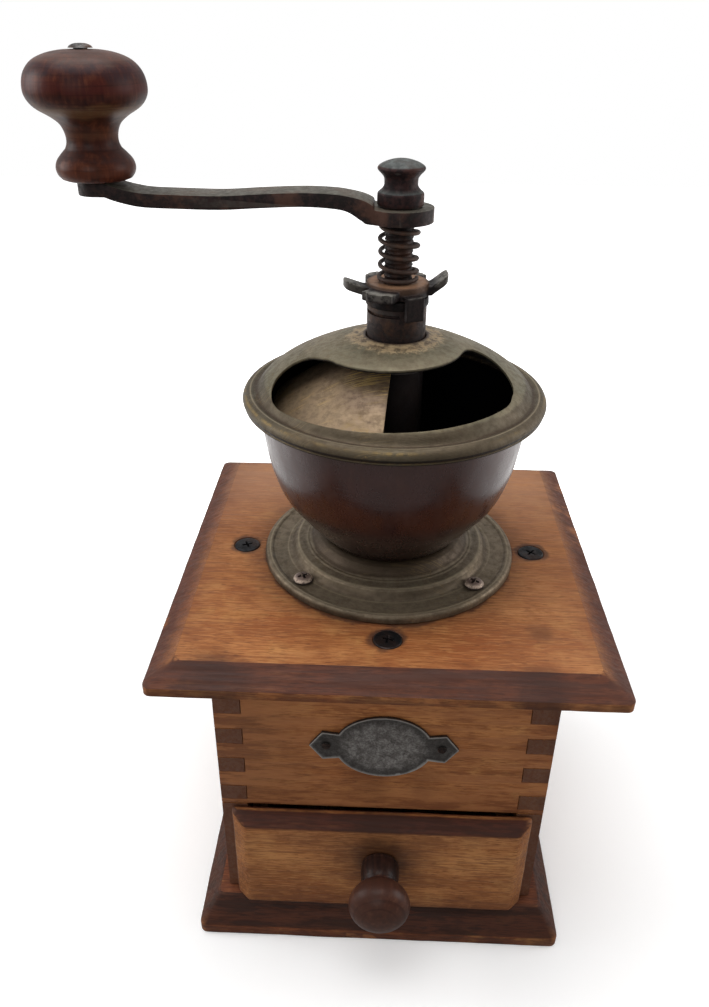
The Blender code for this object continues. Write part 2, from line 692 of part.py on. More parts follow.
def badge(front):
    """A thin plate with a raised border and two round nails. Its face is bare."""
    facing = Matrix.Translation((0, -BOX_HALF - GAP, BADGE_CENTRE)) @ Matrix.Rotation(math.pi / 2, 4, "X")
    plate = prism("badge_plate", [badge_outline(0)], 0, BADGE_THICKNESS, "pewter", HOUSING, facing)
    recess = prism("badge_recess", [badge_outline(BADGE_BORDER)], BADGE_THICKNESS - BADGE_BORDER_HEIGHT,
                   BADGE_THICKNESS + OVERRUN, seat=facing)
    cut(plate, recess)
    for side, hand in (("left", -1), ("right", 1)):
        seat = facing @ Matrix.Translation((hand * BADGE_NAIL_SPACING / 2, 0,
                                            BADGE_THICKNESS - BADGE_BORDER_HEIGHT + GAP))
        profile = bolt_profile(BADGE_NAIL_HEAD, BADGE_NAIL_HEAD * TIP_SHARE, BADGE_NAIL_RADIUS, BADGE_NAIL_LENGTH,
                               False)
        nail = turned("badge_nail_" + side, profile, SMALL_SIDES, "iron", HOUSING)
        nail.matrix_world = seat
        bore_radius = BADGE_NAIL_RADIUS + GAP
        bore = turned(f"badge_nail_{side}_bore", [(0, OVERRUN), (bore_radius, OVERRUN),
                                                  (bore_radius, -BADGE_NAIL_LENGTH - GAP),
                                                  (0, -BADGE_NAIL_LENGTH - GAP)], SMALL_SIDES)
        bore.matrix_world = seat
        cut(plate, bore)
        cut(front, bore)


def pan_screw(name, seat, head, head_height, shank, length, finish, bored, slot=True):
    """A round-headed screw on its seat, and its hole in each piece that it passes."""
    screw = turned(name, bolt_profile(head, head_height, shank, length, False), SMALL_SIDES, finish, HOUSING)
    screw.matrix_world = seat
    if slot:
        top = seat @ Matrix.Translation((0, 0, head_height))
        cut(screw, *cross_slot(name + "_slot", top, math.radians(30), head, head * TIP_SHARE / 2,
                               head_height * TIP_SHARE))
    bore_radius = shank + GAP
    bore = turned(name + "_bore", [(0, OVERRUN), (bore_radius, OVERRUN), (bore_radius, -length - GAP),
                                   (0, -length - GAP)], SMALL_SIDES)
    bore.matrix_world = seat
    for piece in bored:
        cut(piece, bore)


def flange(plate):
    """Stepped brass ring over the grinding ring's flange, screwed to the top board."""
    outer = scaled(flange_shares, FLANGE_RADIUS, FLANGE_HEIGHT, PLATE_TOP)
    outer[0] = (FLANGE_LIP, outer[0][1])
    lip = PLATE_TOP + FLANGE_HEIGHT - FLANGE_WALL
    skirt = RING_FLANGE + 2 * FLANGE_WALL
    under = [(FLANGE_RADIUS, FLANGE_BOTTOM), (skirt, FLANGE_BOTTOM), (skirt - FLANGE_WALL, RING_TOP + 2 * FLANGE_WALL),
             (RING_FLANGE - 2 * FLANGE_WALL, RING_TOP + 2 * FLANGE_WALL),
             (RING_FLANGE - 5 * FLANGE_WALL, lip), (FLANGE_LIP, lip)]
    ring = turned("flange_ring", outer + under, LARGE_SIDES, "brass", HOUSING, loop=True)
    seat_height = PLATE_TOP + FLANGE_HEIGHT * flange_shares[-4][1] + GAP
    for index, angle in enumerate((-math.pi / 2 - FLANGE_SCREW_ANGLE, -math.pi / 2 + FLANGE_SCREW_ANGLE,
                                   math.pi / 2 - FLANGE_SCREW_ANGLE, math.pi / 2 + FLANGE_SCREW_ANGLE)):
        seat = Matrix.Translation((*polar(FLANGE_SCREW_CIRCLE, angle), seat_height))
        pan_screw(f"flange_screw_{index + 1}", seat, FLANGE_SCREW_HEAD, FLANGE_SCREW_HEAD_HEIGHT,
                  FLANGE_SCREW_SHANK, FLANGE_SCREW_LENGTH, "steel", (ring, plate))
    return ring


def hopper(ring):
    """Spun bowl with an open mouth below, riveted to the flange's lip."""
    profile = scaled(bowl_shares, BOWL_RADIUS, BOWL_HEIGHT, BOWL_BOTTOM) + [(BOWL_MOUTH, BOWL_BOTTOM)]
    bowl = turned("hopper_bowl", profile, LARGE_SIDES, "bowl_metal", HOUSING, wall=BOWL_WALL)
    seat_height = BOWL_BOTTOM + BOWL_WALL + GAP
    length = BOWL_WALL + FLANGE_WALL + 3 * GAP
    profile = [(0, RIVET_HEAD_HEIGHT), (RIVET_HEAD * (1 - TIP_SHARE), RIVET_HEAD_HEIGHT), (RIVET_HEAD, 0),
               (RIVET_SHANK, 0), (RIVET_SHANK, -length), (RIVET_HEAD, -length),
               (RIVET_HEAD * (1 - TIP_SHARE), -length - RIVET_HEAD_HEIGHT), (0, -length - RIVET_HEAD_HEIGHT)]
    for index in range(4):
        spot = (*polar(RIVET_CIRCLE, math.pi / 4 + index * math.pi / 2), seat_height)
        rivet = turned(f"hopper_rivet_{index + 1}", profile, SMALL_SIDES, "iron", HOUSING)
        rivet.location = spot
        bore_radius = RIVET_SHANK + GAP
        bore = tool_at(turned(f"hopper_rivet_{index + 1}_bore",
                              [(0, OVERRUN), (bore_radius, OVERRUN), (bore_radius, -length - OVERRUN),
                               (0, -length - OVERRUN)], SMALL_SIDES), spot)
        cut(bowl, bore)
        cut(ring, bore)


def cover():
    """Spun dome with a rolled bead round the bowl's rim and a kidney-shaped opening in front."""
    bead_top = COVER_TOP - COVER_HEIGHT * (1 - cover_shares[-1][1])
    centre = (COVER_RADIUS - COVER_BEAD, bead_top - COVER_BEAD)
    bead = arc(COVER_BEAD, COVER_BEAD_START, COVER_BEAD_END, 8, centre)
    clear = BOWL_RADIUS + GAP
    inner_top = bead_top - COVER_WALL
    profile = [(r * COVER_RADIUS, COVER_TOP - COVER_HEIGHT * (1 - h)) for r, h in cover_shares]
    profile[0] = (TUBE_RADIUS + GAP, profile[0][1])
    inside = [(r * COVER_RADIUS - COVER_WALL * TIP_SHARE, h - COVER_WALL) for (r, _), (_, h)
              in zip(cover_shares[1:], profile[1:])]
    inside.reverse()
    loop = (profile + bead + [(clear, bead[-1][1]), (clear, inner_top - GAP)] + inside[1:]
            + [(TUBE_RADIUS + GAP, profile[0][1] - COVER_WALL)])
    dome = turned("hopper_cover", loop, LARGE_SIDES, "brass", HOUSING, loop=True)
    band = OPENING_OUTER - OPENING_INNER
    outline = arc(OPENING_OUTER, OPENING_START, OPENING_END, 14)
    outline += [polar(OPENING_INNER + band * share, math.radians(turn)) for turn, share in right_end_shares]
    outline += arc(OPENING_INNER, OPENING_INNER_END, OPENING_INNER_START, 12)
    outline += [polar(OPENING_INNER + band * share, math.radians(turn)) for turn, share in left_end_shares]
    outline = [(x - OPENING_SHIFT, y) for x, y in outline]
    opening = prism("cover_opening", [outline], BOWL_TOP - COVER_HEIGHT, COVER_TOP + OVERRUN)
    cut(dome, opening)


def shutter():
    """Half dome that turns about the tube under the cover. At rest it closes half of the opening."""
    top = COVER_TOP - COVER_WALL - SHUTTER_HUB_DROP
    inner = TUBE_RADIUS + 2 * GAP
    upper = [(r * SHUTTER_RADIUS, top - SHUTTER_DROP * fall) for r, fall in shutter_shares]
    upper[0] = (inner, top)
    lower = [(r - SHUTTER_WALL * TIP_SHARE, h - SHUTTER_WALL) for r, h in reversed(upper[1:])]
    hub = top - SHUTTER_HUB_HEIGHT
    loop = upper + lower + [(CLIP_RADIUS, upper[1][1] - SHUTTER_WALL), (CLIP_RADIUS, hub), (inner, hub)]
    leaf = turned("shutter", loop, LARGE_SIDES, "brass", SHUTTER_TURN, loop=True)
    reach = SHUTTER_RADIUS + OVERRUN
    wedge = arc(reach / math.cos(math.pi / SMALL_SIDES), SHUTTER_EDGE, SHUTTER_EDGE - SHUTTER_SPAN, SMALL_SIDES)
    wedge += arc(CLIP_RADIUS + GAP, SHUTTER_EDGE - SHUTTER_SPAN, SHUTTER_EDGE - 2 * math.pi, SMALL_SIDES)
    keep = prism("shutter_sector", [wedge], hub - SHUTTER_DROP - OVERRUN, top + OVERRUN)
    keep_common(leaf, keep)
    clip_top = hub - GAP
    turned("shutter_clip", [(CLIP_RADIUS, clip_top), (CLIP_RADIUS, clip_top - CLIP_HEIGHT),
                            (TUBE_RADIUS + GAP, clip_top - CLIP_HEIGHT), (TUBE_RADIUS + GAP, clip_top)],
           MIDDLE_SIDES, "iron", HOUSING, loop=True)


def bearing():
    """Iron tube that carries the shaft, its collar, and the bridge across the throat."""
    spigot = TUBE_SPIGOT - GAP
    tube = turned("bearing_tube", [(TUBE_BORE, TUBE_END), (TUBE_RADIUS, TUBE_END), (TUBE_RADIUS, TUBE_BOTTOM),
                                   (spigot, TUBE_BOTTOM), (spigot, BRIDGE_BOTTOM - GAP),
                                   (TUBE_BORE, BRIDGE_BOTTOM - GAP)], MIDDLE_SIDES, "iron", HOUSING, loop=True)
    collar_bottom = TUBE_END - COLLAR_HEIGHT * TIP_SHARE
    turned("tube_collar", [(TUBE_BORE, COLLAR_TOP), (COLLAR_RADIUS, COLLAR_TOP), (COLLAR_RADIUS, collar_bottom),
                           (TUBE_RADIUS + GAP, collar_bottom), (TUBE_RADIUS + GAP, TUBE_END + GAP),
                           (TUBE_BORE, TUBE_END + GAP)], MIDDLE_SIDES, "iron", HOUSING, loop=True)
    slit_top = collar_bottom - TUBE_SLIT_BELOW_COLLAR
    slit = arc(TUBE_RADIUS + OVERRUN, TUBE_SLIT_START, TUBE_SLIT_END, 2)
    slit += arc(TUBE_RADIUS - TUBE_SLIT_DEPTH, TUBE_SLIT_END, TUBE_SLIT_START, 3)
    cut(tube, prism("tube_slit", [slit], slit_top - TUBE_SLIT, slit_top))

    half_length, half_width = BRIDGE_LENGTH / 2, BRIDGE_WIDTH / 2
    bar = box("bridge", (-half_length, -half_width, BRIDGE_BOTTOM), (half_length, half_width, BRIDGE_TOP),
              "iron", HOUSING)
    cut(bar, prism("bridge_bore", [circle(TUBE_SPIGOT, MIDDLE_SIDES)], BRIDGE_BOTTOM - OVERRUN,
                   BRIDGE_TOP + OVERRUN))
    return bar


def grinding_ring(plate, bar):
    """Fixed outer ring: its flange lies on the top board and its body hangs through it."""
    body_step = RING_BOTTOM + RING_HEIGHT * TIP_SHARE
    waist = RING_BOTTOM + CONE_ABOVE_RING_MOUTH + CONE_HEIGHT * TIP_SHARE
    under = PLATE_TOP + GAP
    loop = [(RING_THROAT, RING_TOP), (RING_FLANGE, RING_TOP), (RING_FLANGE, under), (RING_RADIUS, under),
            (RING_RADIUS, body_step), (RING_MOUTH + RING_RADIUS - RING_THROAT, RING_BOTTOM),
            (RING_MOUTH, RING_BOTTOM), (RING_WAIST, waist), (RING_THROAT, RING_TOP - RING_FLANGE_HEIGHT * 2)]
    ring = turned("grinding_ring", loop, LARGE_SIDES, "iron", HOUSING, loop=True)
    for side, hand in (("left", -1), ("right", 1)):
        spot = Matrix.Translation((hand * (RING_THROAT + RING_RADIUS) / 2, 0, BRIDGE_TOP + GAP))
        pan_screw("bridge_screw_" + side, spot, BRIDGE_SCREW_HEAD, BRIDGE_SCREW_HEAD_HEIGHT, BRIDGE_SCREW_SHANK,
                  BRIDGE_SCREW_LENGTH, "steel", (bar, ring), slot=False)
    for index in range(3):
        angle = math.pi / 2 + index * 2 * math.pi / 3
        spot = Matrix.Translation((*polar(RING_SCREW_CIRCLE, angle), RING_TOP + GAP))
        pan_screw(f"ring_screw_{index + 1}", spot, RING_SCREW_HEAD, RING_SCREW_HEAD_HEIGHT, RING_SCREW_SHANK,
                  RING_SCREW_LENGTH, "steel", (ring, plate), slot=False)


def grinding_cone():
    """Fluted cone on the shaft's tail, held by a square nut."""
    mesh = bpy.data.meshes.new("grinding_cone")
    work = bmesh.new()
    bmesh.ops.create_cone(work, cap_ends=True, segments=2 * CONE_TEETH, radius1=CONE_RADIUS, radius2=CONE_TOP_RADIUS,
                          depth=CONE_HEIGHT)
    step = math.pi / CONE_TEETH
    for corner in work.verts:
        radius = math.hypot(corner.co.x, corner.co.y)
        index = round(math.atan2(corner.co.y, corner.co.x) / step)
        if radius and index % 2:
            shrunk = (radius - CONE_FLUTE) / radius
            corner.co.x *= shrunk
            corner.co.y *= shrunk
    bmesh.ops.triangulate(work, faces=work.faces)
    work.to_mesh(mesh)
    work.free()
    cone = bpy.data.objects.new("grinding_cone", mesh)
    cone.location = (0, 0, (CONE_TOP + CONE_BOTTOM) / 2)
    place(cone, "iron", CRANK)
    bore = SHAFT_TAIL + SHAFT_CLEARANCE
    cut(cone, prism("cone_bore", [circle(bore, SMALL_SIDES)], CONE_BOTTOM - OVERRUN, CONE_TOP + OVERRUN))
    half = CONE_NUT_WIDTH / 2
    top = CONE_BOTTOM - GAP
    nut = box("cone_nut", (-half, -half, top - CONE_NUT_HEIGHT), (half, half, top), "iron", CRANK)
    cut(nut, prism("cone_nut_bore", [circle(bore, SMALL_SIDES)], top - CONE_NUT_HEIGHT - OVERRUN, top + OVERRUN))


def shaft():
    """One shaft from the cone's nut to the cap nut: tail, long journal, square for the crank, and stud."""
    tail_end = CONE_BOTTOM - GAP - CONE_NUT_HEIGHT - GAP
    shoulder = CONE_TOP + GAP
    square_bottom = HUB_BOTTOM - GAP
    stud_end = HUB_TOP + SHAFT_STUD_LENGTH
    rod = turned("shaft", [(0, stud_end), (SHAFT_STUD, stud_end), (SHAFT_STUD, square_bottom),
                           (SHAFT_RADIUS, square_bottom), (SHAFT_RADIUS, shoulder), (SHAFT_TAIL, shoulder),
                           (SHAFT_TAIL, tail_end), (0, tail_end)], MIDDLE_SIDES, "iron", CRANK)
    half = SHAFT_SQUARE / 2
    join(rod, box("shaft_square", (-half, -half, square_bottom - OVERRUN), (half, half, HUB_TOP - GAP)))


def wing(name, turn, width, reach, rise):
    """A wing along +X from the nut's middle: flat first, then bent up, with a rounded tip in plan."""
    slope = math.atan2(rise, reach - WING_BEND)
    low = NUT_BOTTOM + GAP
    back, up = WING_THICKNESS * math.sin(slope), WING_THICKNESS * math.cos(slope)
    side_view = [(NUT_RADIUS / 2, low), (WING_BEND, low), (reach, low + rise),
                 (reach - back, low + rise + up), (WING_BEND - back / 2, low + WING_THICKNESS),
                 (NUT_RADIUS / 2, low + WING_THICKNESS)]
    half = width / 2
    blade = prism(name, [side_view], -half - GAP, half + GAP, seat=turn @ Matrix.Rotation(math.pi / 2, 4, "X"))
    corner = WING_TIP_CORNER
    plan = [(0, half), (0, -half)]
    plan += arc(corner, -math.pi / 2, 0, 3, (reach - corner, corner - half))
    plan += arc(corner, 0, math.pi / 2, 3, (reach - corner, half - corner))
    keep_common(blade, prism(name + "_plan", [plan], NUT_BOTTOM - OVERRUN, NUT_TOP + rise + OVERRUN, seat=turn))
    return blade


def adjusting_nut():
    """Nut on the shaft's thread, with five wings bent up and one bent down over the collar."""
    nut = prism("adjusting_nut", [circle(NUT_RADIUS, MIDDLE_SIDES)], NUT_BOTTOM, NUT_TOP, "iron", NUT_TURN)
    for index in range(WING_COUNT):
        pitch = 2 * math.pi / WING_COUNT
        turn = Matrix.Rotation(WING_PHASE + (index + wing_turn_shares[index]) * pitch, 4, "Z")
        if index == WING_DOWN:
            inner = COLLAR_RADIUS + 2 * GAP
            outer = inner + TAB_THICKNESS
            corner = NUT_BOTTOM + GAP
            top = corner + WING_THICKNESS
            side_view = [(NUT_RADIUS / 2, top), (outer, top), (outer, NUT_BOTTOM - TAB_LENGTH),
                         (inner, NUT_BOTTOM - TAB_LENGTH), (inner, corner), (NUT_RADIUS / 2, corner)]
            upright = turn @ Matrix.Rotation(math.pi / 2, 4, "X")
            join(nut, prism("nut_tab", [side_view], -WING_WIDTH / 2, WING_WIDTH / 2, seat=upright))
            continue
        join(nut, wing(f"nut_wing_{index}", turn, WING_WIDTH * wing_width_shares[index],
                       WING_REACH * wing_reach_shares[index], WING_RISE * wing_rise_shares[index]))
    bore = SHAFT_RADIUS + SHAFT_CLEARANCE
    cut(nut, prism("nut_bore", [circle(bore, MIDDLE_SIDES)], NUT_BOTTOM - OVERRUN, NUT_TOP + OVERRUN))


def spring():
    """One wire from the nut to the crank's hub. Its two ends stand square to them."""
    end_run = 2 * WIRE_RADIUS
    low = NUT_TOP + GAP
    high = HUB_BOTTOM - GAP
    first = low + end_run
    last = high - end_run
    count = SPRING_TURNS * SPRING_TURN_POINTS
    path = [Vector((SPRING_RADIUS, 0, low))]
    for index in range(count + 1):
        angle = 2 * math.pi * index / SPRING_TURN_POINTS
        rise = first + (last - first) * index / count
        path.append(Vector((SPRING_RADIUS * math.cos(angle), SPRING_RADIUS * math.sin(angle), rise)))
    path.append(Vector((path[-1].x, path[-1].y, high)))
    curve = bpy.data.curves.new("spring", "CURVE")
    curve.dimensions = "3D"
    curve.bevel_depth = WIRE_RADIUS
    curve.bevel_resolution = 1
    curve.use_fill_caps = True
    spline = curve.splines.new("POLY")
    spline.points.add(len(path) - 1)
    for point, spot in zip(spline.points, path):
        point.co = (*spot, 1)
    place(bpy.data.objects.new("spring", curve), "steel", CRANK)
    least = min((path[i] - path[j]).length for i in range(len(path))
                for j in range(i + SPRING_TURN_POINTS // 2, len(path))) - 2 * WIRE_RADIUS
    print(f"least gap of the spring to itself: {least * 1000:.2f} mm")


def smooth_heights(shares, steps):
    """Heights between the given shares, eased so that the bends are round."""
    points = []
    for (x1, h1), (x2, h2) in zip(shares, shares[1:]):
        for i in range(steps):
            t = i / steps
            points.append((x1 + (x2 - x1) * t, h1 + (h2 - h1) * t * t * (3 - 2 * t)))
    return points + [shares[-1]]


def crank_arm():
    """Flat bar bent in side view, with a round hub and a rounded pad in plan."""
    end = -ARM_LENGTH - PAD_RADIUS - GAP
    hub = HUB_RADIUS + GAP
    under_rise = ARM_RISE + HUB_THICKNESS - ARM_THICKNESS
    upper = [(-ARM_LENGTH * x, HUB_TOP + ARM_RISE * h) for x, h in smooth_heights(arm_top_shares, 2)]
    lower = [(-ARM_LENGTH * x, HUB_BOTTOM + under_rise * h) for x, h in smooth_heights(arm_under_shares, 2)]
    side_view = [(hub, HUB_TOP)] + upper[1:] + [(end, PAD_TOP), (end, PAD_TOP - ARM_THICKNESS)]
    side_view += list(reversed(lower[1:])) + [(hub, HUB_BOTTOM)]
    across = Matrix.Rotation(math.pi / 2, 4, "X")
    arm = prism("crank_arm", [side_view], -hub, hub, "iron", CRANK, across)
    half = ARM_WIDTH / 2
    meet = math.asin(half / HUB_RADIUS)
    start = meet + ARM_FILLET / HUB_RADIUS / 2
    neck = HUB_RADIUS * math.cos(meet)
    plan = arc(HUB_RADIUS, math.pi + start, 3 * math.pi - start, MIDDLE_SIDES)
    plan += rounded(plan[-1], (-neck, half), (-neck - ARM_FILLET, half), 3)[1:]
    plan += arc(PAD_RADIUS, math.pi / 2, 3 * math.pi / 2, SMALL_SIDES // 2, (-ARM_LENGTH, 0))
    plan += rounded((-neck - ARM_FILLET, -half), (-neck, -half), plan[0], 3)[:-1]
    keep_common(arm, prism("arm_plan", [plan], HUB_BOTTOM - OVERRUN, PAD_TOP + OVERRUN))
    square = SHAFT_SQUARE / 2 + GAP
    cut(arm, box("arm_square", (-square, -square, HUB_BOTTOM - OVERRUN), (square, square, HUB_TOP + OVERRUN)))
    cut(arm, prism("arm_pin_hole", [circle(PIN_RADIUS + GAP, SMALL_SIDES, (-ARM_LENGTH, 0))],
                   HUB_BOTTOM - OVERRUN, PAD_TOP + OVERRUN))


def cap_nut():
    """Turned cap nut with a waist and a domed head, on the shaft's stud."""
    bottom = HUB_TOP + GAP
    bore = SHAFT_STUD + SHAFT_CLEARANCE
    deep = HUB_TOP + SHAFT_STUD_LENGTH + GAP
    profile = scaled(cap_shares, CAP_RADIUS, CAP_HEIGHT, bottom)
    turned("cap_nut", profile + [(bore, bottom), (bore, deep), (0, deep)], MIDDLE_SIDES, "iron", CRANK)


def crank_knob():
    """Turned wooden knob that spins on a riveted pin."""
    bore = PIN_RADIUS + SHAFT_CLEARANCE
    top = KNOB_BOTTOM + KNOB_HEIGHT
    profile = scaled(knob_shares, KNOB_RADIUS, KNOB_HEIGHT, KNOB_BOTTOM)
    knob = turned("knob", [(bore, top)] + profile + [(bore, KNOB_BOTTOM)], MIDDLE_SIDES, "knob_wood", KNOB_SPIN,
                  loop=True)
    knob.matrix_world = Matrix.Translation((-ARM_LENGTH, 0, 0))
    under = PAD_TOP - ARM_THICKNESS - GAP
    seat = top + GAP
    pin = turned("knob_pin", [(0, seat + PIN_HEAD_HEIGHT), (PIN_HEAD_RADIUS / 2, seat + PIN_HEAD_HEIGHT * (1 - TIP_SHARE / 2)),
                              (PIN_HEAD_RADIUS, seat), (PIN_RADIUS, seat), (PIN_RADIUS, under),
                              (PIN_RIVET_RADIUS, under), (PIN_RIVET_RADIUS / 2, under - PIN_RIVET_HEIGHT),
                              (0, under - PIN_RIVET_HEIGHT)], SMALL_SIDES, "steel", CRANK)
    pin.matrix_world = Matrix.Translation((-ARM_LENGTH, 0, 0))


def build():
    base = base_board()
    front, back, sides = boards()
    plate = top_board()
    box_screws(plate, base, front, back, sides)
    drawer_front = drawer()
    drawer_pull(drawer_front)
    badge(front)
    ring = flange(plate)
    hopper(ring)
    cover()
    shutter()
    bar = bearing()
    grinding_ring(plate, bar)
    grinding_cone()
    shaft()
    adjusting_nut()
    spring()
    crank_arm()
    cap_nut()
    crank_knob()


build()
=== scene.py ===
# Manual coffee grinder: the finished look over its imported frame, in metres, +Z up, the drawer towards -Y
import json
import math

import bmesh
import bpy
from mathutils import Matrix, Vector

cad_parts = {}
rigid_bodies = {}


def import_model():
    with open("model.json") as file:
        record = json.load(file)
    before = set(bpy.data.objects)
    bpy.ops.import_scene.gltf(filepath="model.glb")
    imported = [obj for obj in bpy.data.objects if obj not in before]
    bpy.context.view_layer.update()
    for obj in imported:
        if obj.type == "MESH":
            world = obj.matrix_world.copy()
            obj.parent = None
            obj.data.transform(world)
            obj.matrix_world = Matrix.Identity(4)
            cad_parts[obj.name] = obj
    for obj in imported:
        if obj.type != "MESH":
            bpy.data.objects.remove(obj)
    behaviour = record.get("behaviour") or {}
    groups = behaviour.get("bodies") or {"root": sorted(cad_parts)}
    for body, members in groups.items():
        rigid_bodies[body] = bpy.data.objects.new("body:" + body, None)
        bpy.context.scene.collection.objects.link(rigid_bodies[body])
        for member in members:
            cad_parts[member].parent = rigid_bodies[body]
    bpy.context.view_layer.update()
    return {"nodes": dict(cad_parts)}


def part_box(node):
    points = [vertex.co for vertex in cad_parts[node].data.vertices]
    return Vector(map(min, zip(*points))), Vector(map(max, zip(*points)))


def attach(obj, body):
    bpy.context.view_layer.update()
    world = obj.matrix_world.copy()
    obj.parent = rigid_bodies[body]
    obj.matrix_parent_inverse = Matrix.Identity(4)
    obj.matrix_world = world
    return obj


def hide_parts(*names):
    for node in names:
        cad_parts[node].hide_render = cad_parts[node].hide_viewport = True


for leftover in list(bpy.data.objects):
    bpy.data.objects.remove(leftover, do_unlink=True)
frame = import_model()
mm = 0.001
print("frame loaded:", len(frame["nodes"]), "nodes")


# Working tools: places and sizes in millimetres, but where a note says metres

def leaveEdit():
    if bpy.context.mode != "OBJECT":
        bpy.ops.object.mode_set(mode="OBJECT")


def chooseOnly(piece):
    leaveEdit()
    bpy.ops.object.select_all(action="DESELECT")
    piece.select_set(True)
    bpy.context.view_layer.objects.active = piece


def enterEdit(piece):
    chooseOnly(piece)
    bpy.ops.object.mode_set(mode="EDIT")


def onAxis(axis, value, others=0):
    # one value along one axis, another along the other two
    return tuple(value if i == axis else others for i in range(3))


def at(x, y, z):
    # a move to a place
    return Matrix.Translation((x * mm, y * mm, z * mm))


def turned(degrees, axis="Z"):
    return Matrix.Rotation(math.radians(degrees), 4, axis)


def addShape(name, kind, **settings):
    # a primitive at its size and place in metres
    leaveEdit()
    bpy.ops.object.select_all(action="DESELECT")
    getattr(bpy.ops.mesh, "primitive_" + kind + "_add")(**settings)
    piece = bpy.context.active_object
    piece.name = name
    piece.data.name = name
    bpy.ops.object.transform_apply(location=True, rotation=True, scale=True)
    return piece


def addBlock(name, low, high):
    low, high = (Vector([v * mm for v in corner]) for corner in (low, high))
    return addShape(name, "cube", size=1, location=(low + high) / 2, scale=high - low)


def addRod(name, radius, depth, place, steps=32, lying=False):
    # upright, or lying from front to back
    return addShape(name, "cylinder", vertices=steps, radius=radius * mm, depth=depth * mm,
                    location=[v * mm for v in place], rotation=(math.pi / 2 if lying else 0, 0, 0))


def pick(piece, kind, test):
    # in edit mode: selects the faces, edges or corners that pass the test
    bpy.ops.mesh.select_mode(type=kind)
    bpy.ops.mesh.select_all(action="DESELECT")
    work = bmesh.from_edit_mesh(piece.data)
    for item in {"FACE": work.faces, "EDGE": work.edges, "VERT": work.verts}[kind]:
        if test(item):
            item.select_set(True)
    work.select_flush_mode()
    bmesh.update_edit_mesh(piece.data)


def selectAll():
    # this and the next two act in edit mode
    bpy.ops.mesh.select_all(action="SELECT")


def cutThrough(axis, level, **settings):
    # a flat cut through the whole piece, square to one axis
    selectAll()
    bpy.ops.mesh.bisect(plane_co=onAxis(axis, level * mm), plane_no=onAxis(axis, 1), **settings)


def pull(by):
    # extrudes what is selected, by a step in metres
    bpy.ops.mesh.extrude_region_move(TRANSFORM_OT_translate={"value": by})


def drawLine(name, points):
    # one corner of a small plane, extruded from point to point; stays in edit mode
    piece = addShape(name, "plane", size=mm)
    enterEdit(piece)
    bpy.ops.mesh.select_mode(type="VERT")
    selectAll()
    bpy.ops.mesh.merge(type="CENTER")
    points = [[v * mm for v in spot] for spot in points]
    bpy.ops.transform.translate(value=points[0])
    for before, after in zip(points, points[1:]):
        pull([b - a for a, b in zip(before, after)])
    return piece


def tidyMesh():
    selectAll()
    bpy.ops.mesh.remove_doubles(threshold=0.002 * mm)
    bpy.ops.mesh.normals_make_consistent(inside=False)


def smoothRun(points, steps):
    # points of a soft curve through the given ones
    made = []
    ends = [points[0]] + list(points) + [points[-1]]
    for i in range(len(points) - 1):
        a, b, c, d = ends[i:i + 4]
        for k in range(steps):
            t = k / steps
            made.append(tuple(0.5 * (2 * q + (r - p) * t + (2 * p - 5 * q + 4 * r - s) * t * t
                                     + (3 * q - p - 3 * r + s) * t ** 3) for p, q, r, s in zip(a, b, c, d)))
    return made + [tuple(points[-1])]


def spinPiece(name, runs, steps=96, curve=4, angle=360):
    # runs of (radius, height), each from where the last one ended: a run is soft, and the joints are sharp
    outline, last = [], []
    for run in runs:
        run = last + run
        outline += smoothRun(run, curve if len(run) > 2 else 1)
        last = [run[-1]]
    points = []
    for r, z in outline:
        spot = (max(r, 0), 0, z)
        if not points or math.dist(spot, points[-1]) > 0.004:
            points.append(spot)
    piece = drawLine(name, points)
    selectAll()
    bpy.ops.mesh.spin(steps=steps, angle=math.radians(angle), center=(0, 0, 0), axis=(0, 0, 1))
    tidyMesh()
    leaveEdit()
    return piece


def drawPlate(name, outline, bottom, top):
    # a flat outline, filled and pulled up
    piece = drawLine(name, [(x, y, bottom) for x, y in outline])
    selectAll()
    bpy.ops.mesh.edge_face_add()
    selectAll()
    pull((0, 0, (top - bottom) * mm))
    tidyMesh()
    leaveEdit()
    return piece


def useModifier(piece, kind, **settings):
    step = piece.modifiers.new(kind.lower(), kind)
    for key, value in settings.items():
        setattr(step, key, value)
    chooseOnly(piece)
    bpy.ops.object.modifier_apply(modifier=step.name)


def carve(piece, *tools, mode="DIFFERENCE"):
    for tool in tools:
        useModifier(piece, "BOOLEAN", object=tool, operation=mode, solver="EXACT")
        bpy.data.objects.remove(tool, do_unlink=True)
    # faces without any area go
    enterEdit(piece)
    selectAll()
    bpy.ops.mesh.dissolve_degenerate(threshold=0.001 * mm)
    leaveEdit()


def roundEdges(piece, width, segments=3, angle=35):
    useModifier(piece, "BEVEL", width=width * mm, segments=segments, limit_method="ANGLE",
                angle_limit=math.radians(angle), harden_normals=False, use_clamp_overlap=True)


def gridCuts(piece, axis, start, stop, step):
    # straight cuts through the whole piece, so that it can be worn unevenly
    enterEdit(piece)
    level = start
    while level < stop:
        cutThrough(axis, level)
        level += step
    leaveEdit()


def wearSurface(piece, size, depth, seed):
    # a soft unevenness that only takes material away
    clouds = bpy.data.textures.new(piece.name + "Wear", "CLOUDS")
    clouds.noise_scale = size * mm
    clouds.noise_depth = 2
    anchor = bpy.data.objects.new(piece.name + "WearPlace", None)
    bpy.context.scene.collection.objects.link(anchor)
    anchor.location = (seed * 0.37, seed * 0.21, seed * 0.13)
    useModifier(piece, "DISPLACE", texture=clouds, strength=depth * mm, mid_level=1.0, texture_coords="OBJECT",
                texture_coords_object=anchor)
    bpy.data.objects.remove(anchor, do_unlink=True)
    bpy.data.textures.remove(clouds)


def smoothShade(piece, angle=40):
    chooseOnly(piece)
    bpy.ops.object.shade_smooth_by_angle(angle=math.radians(angle))


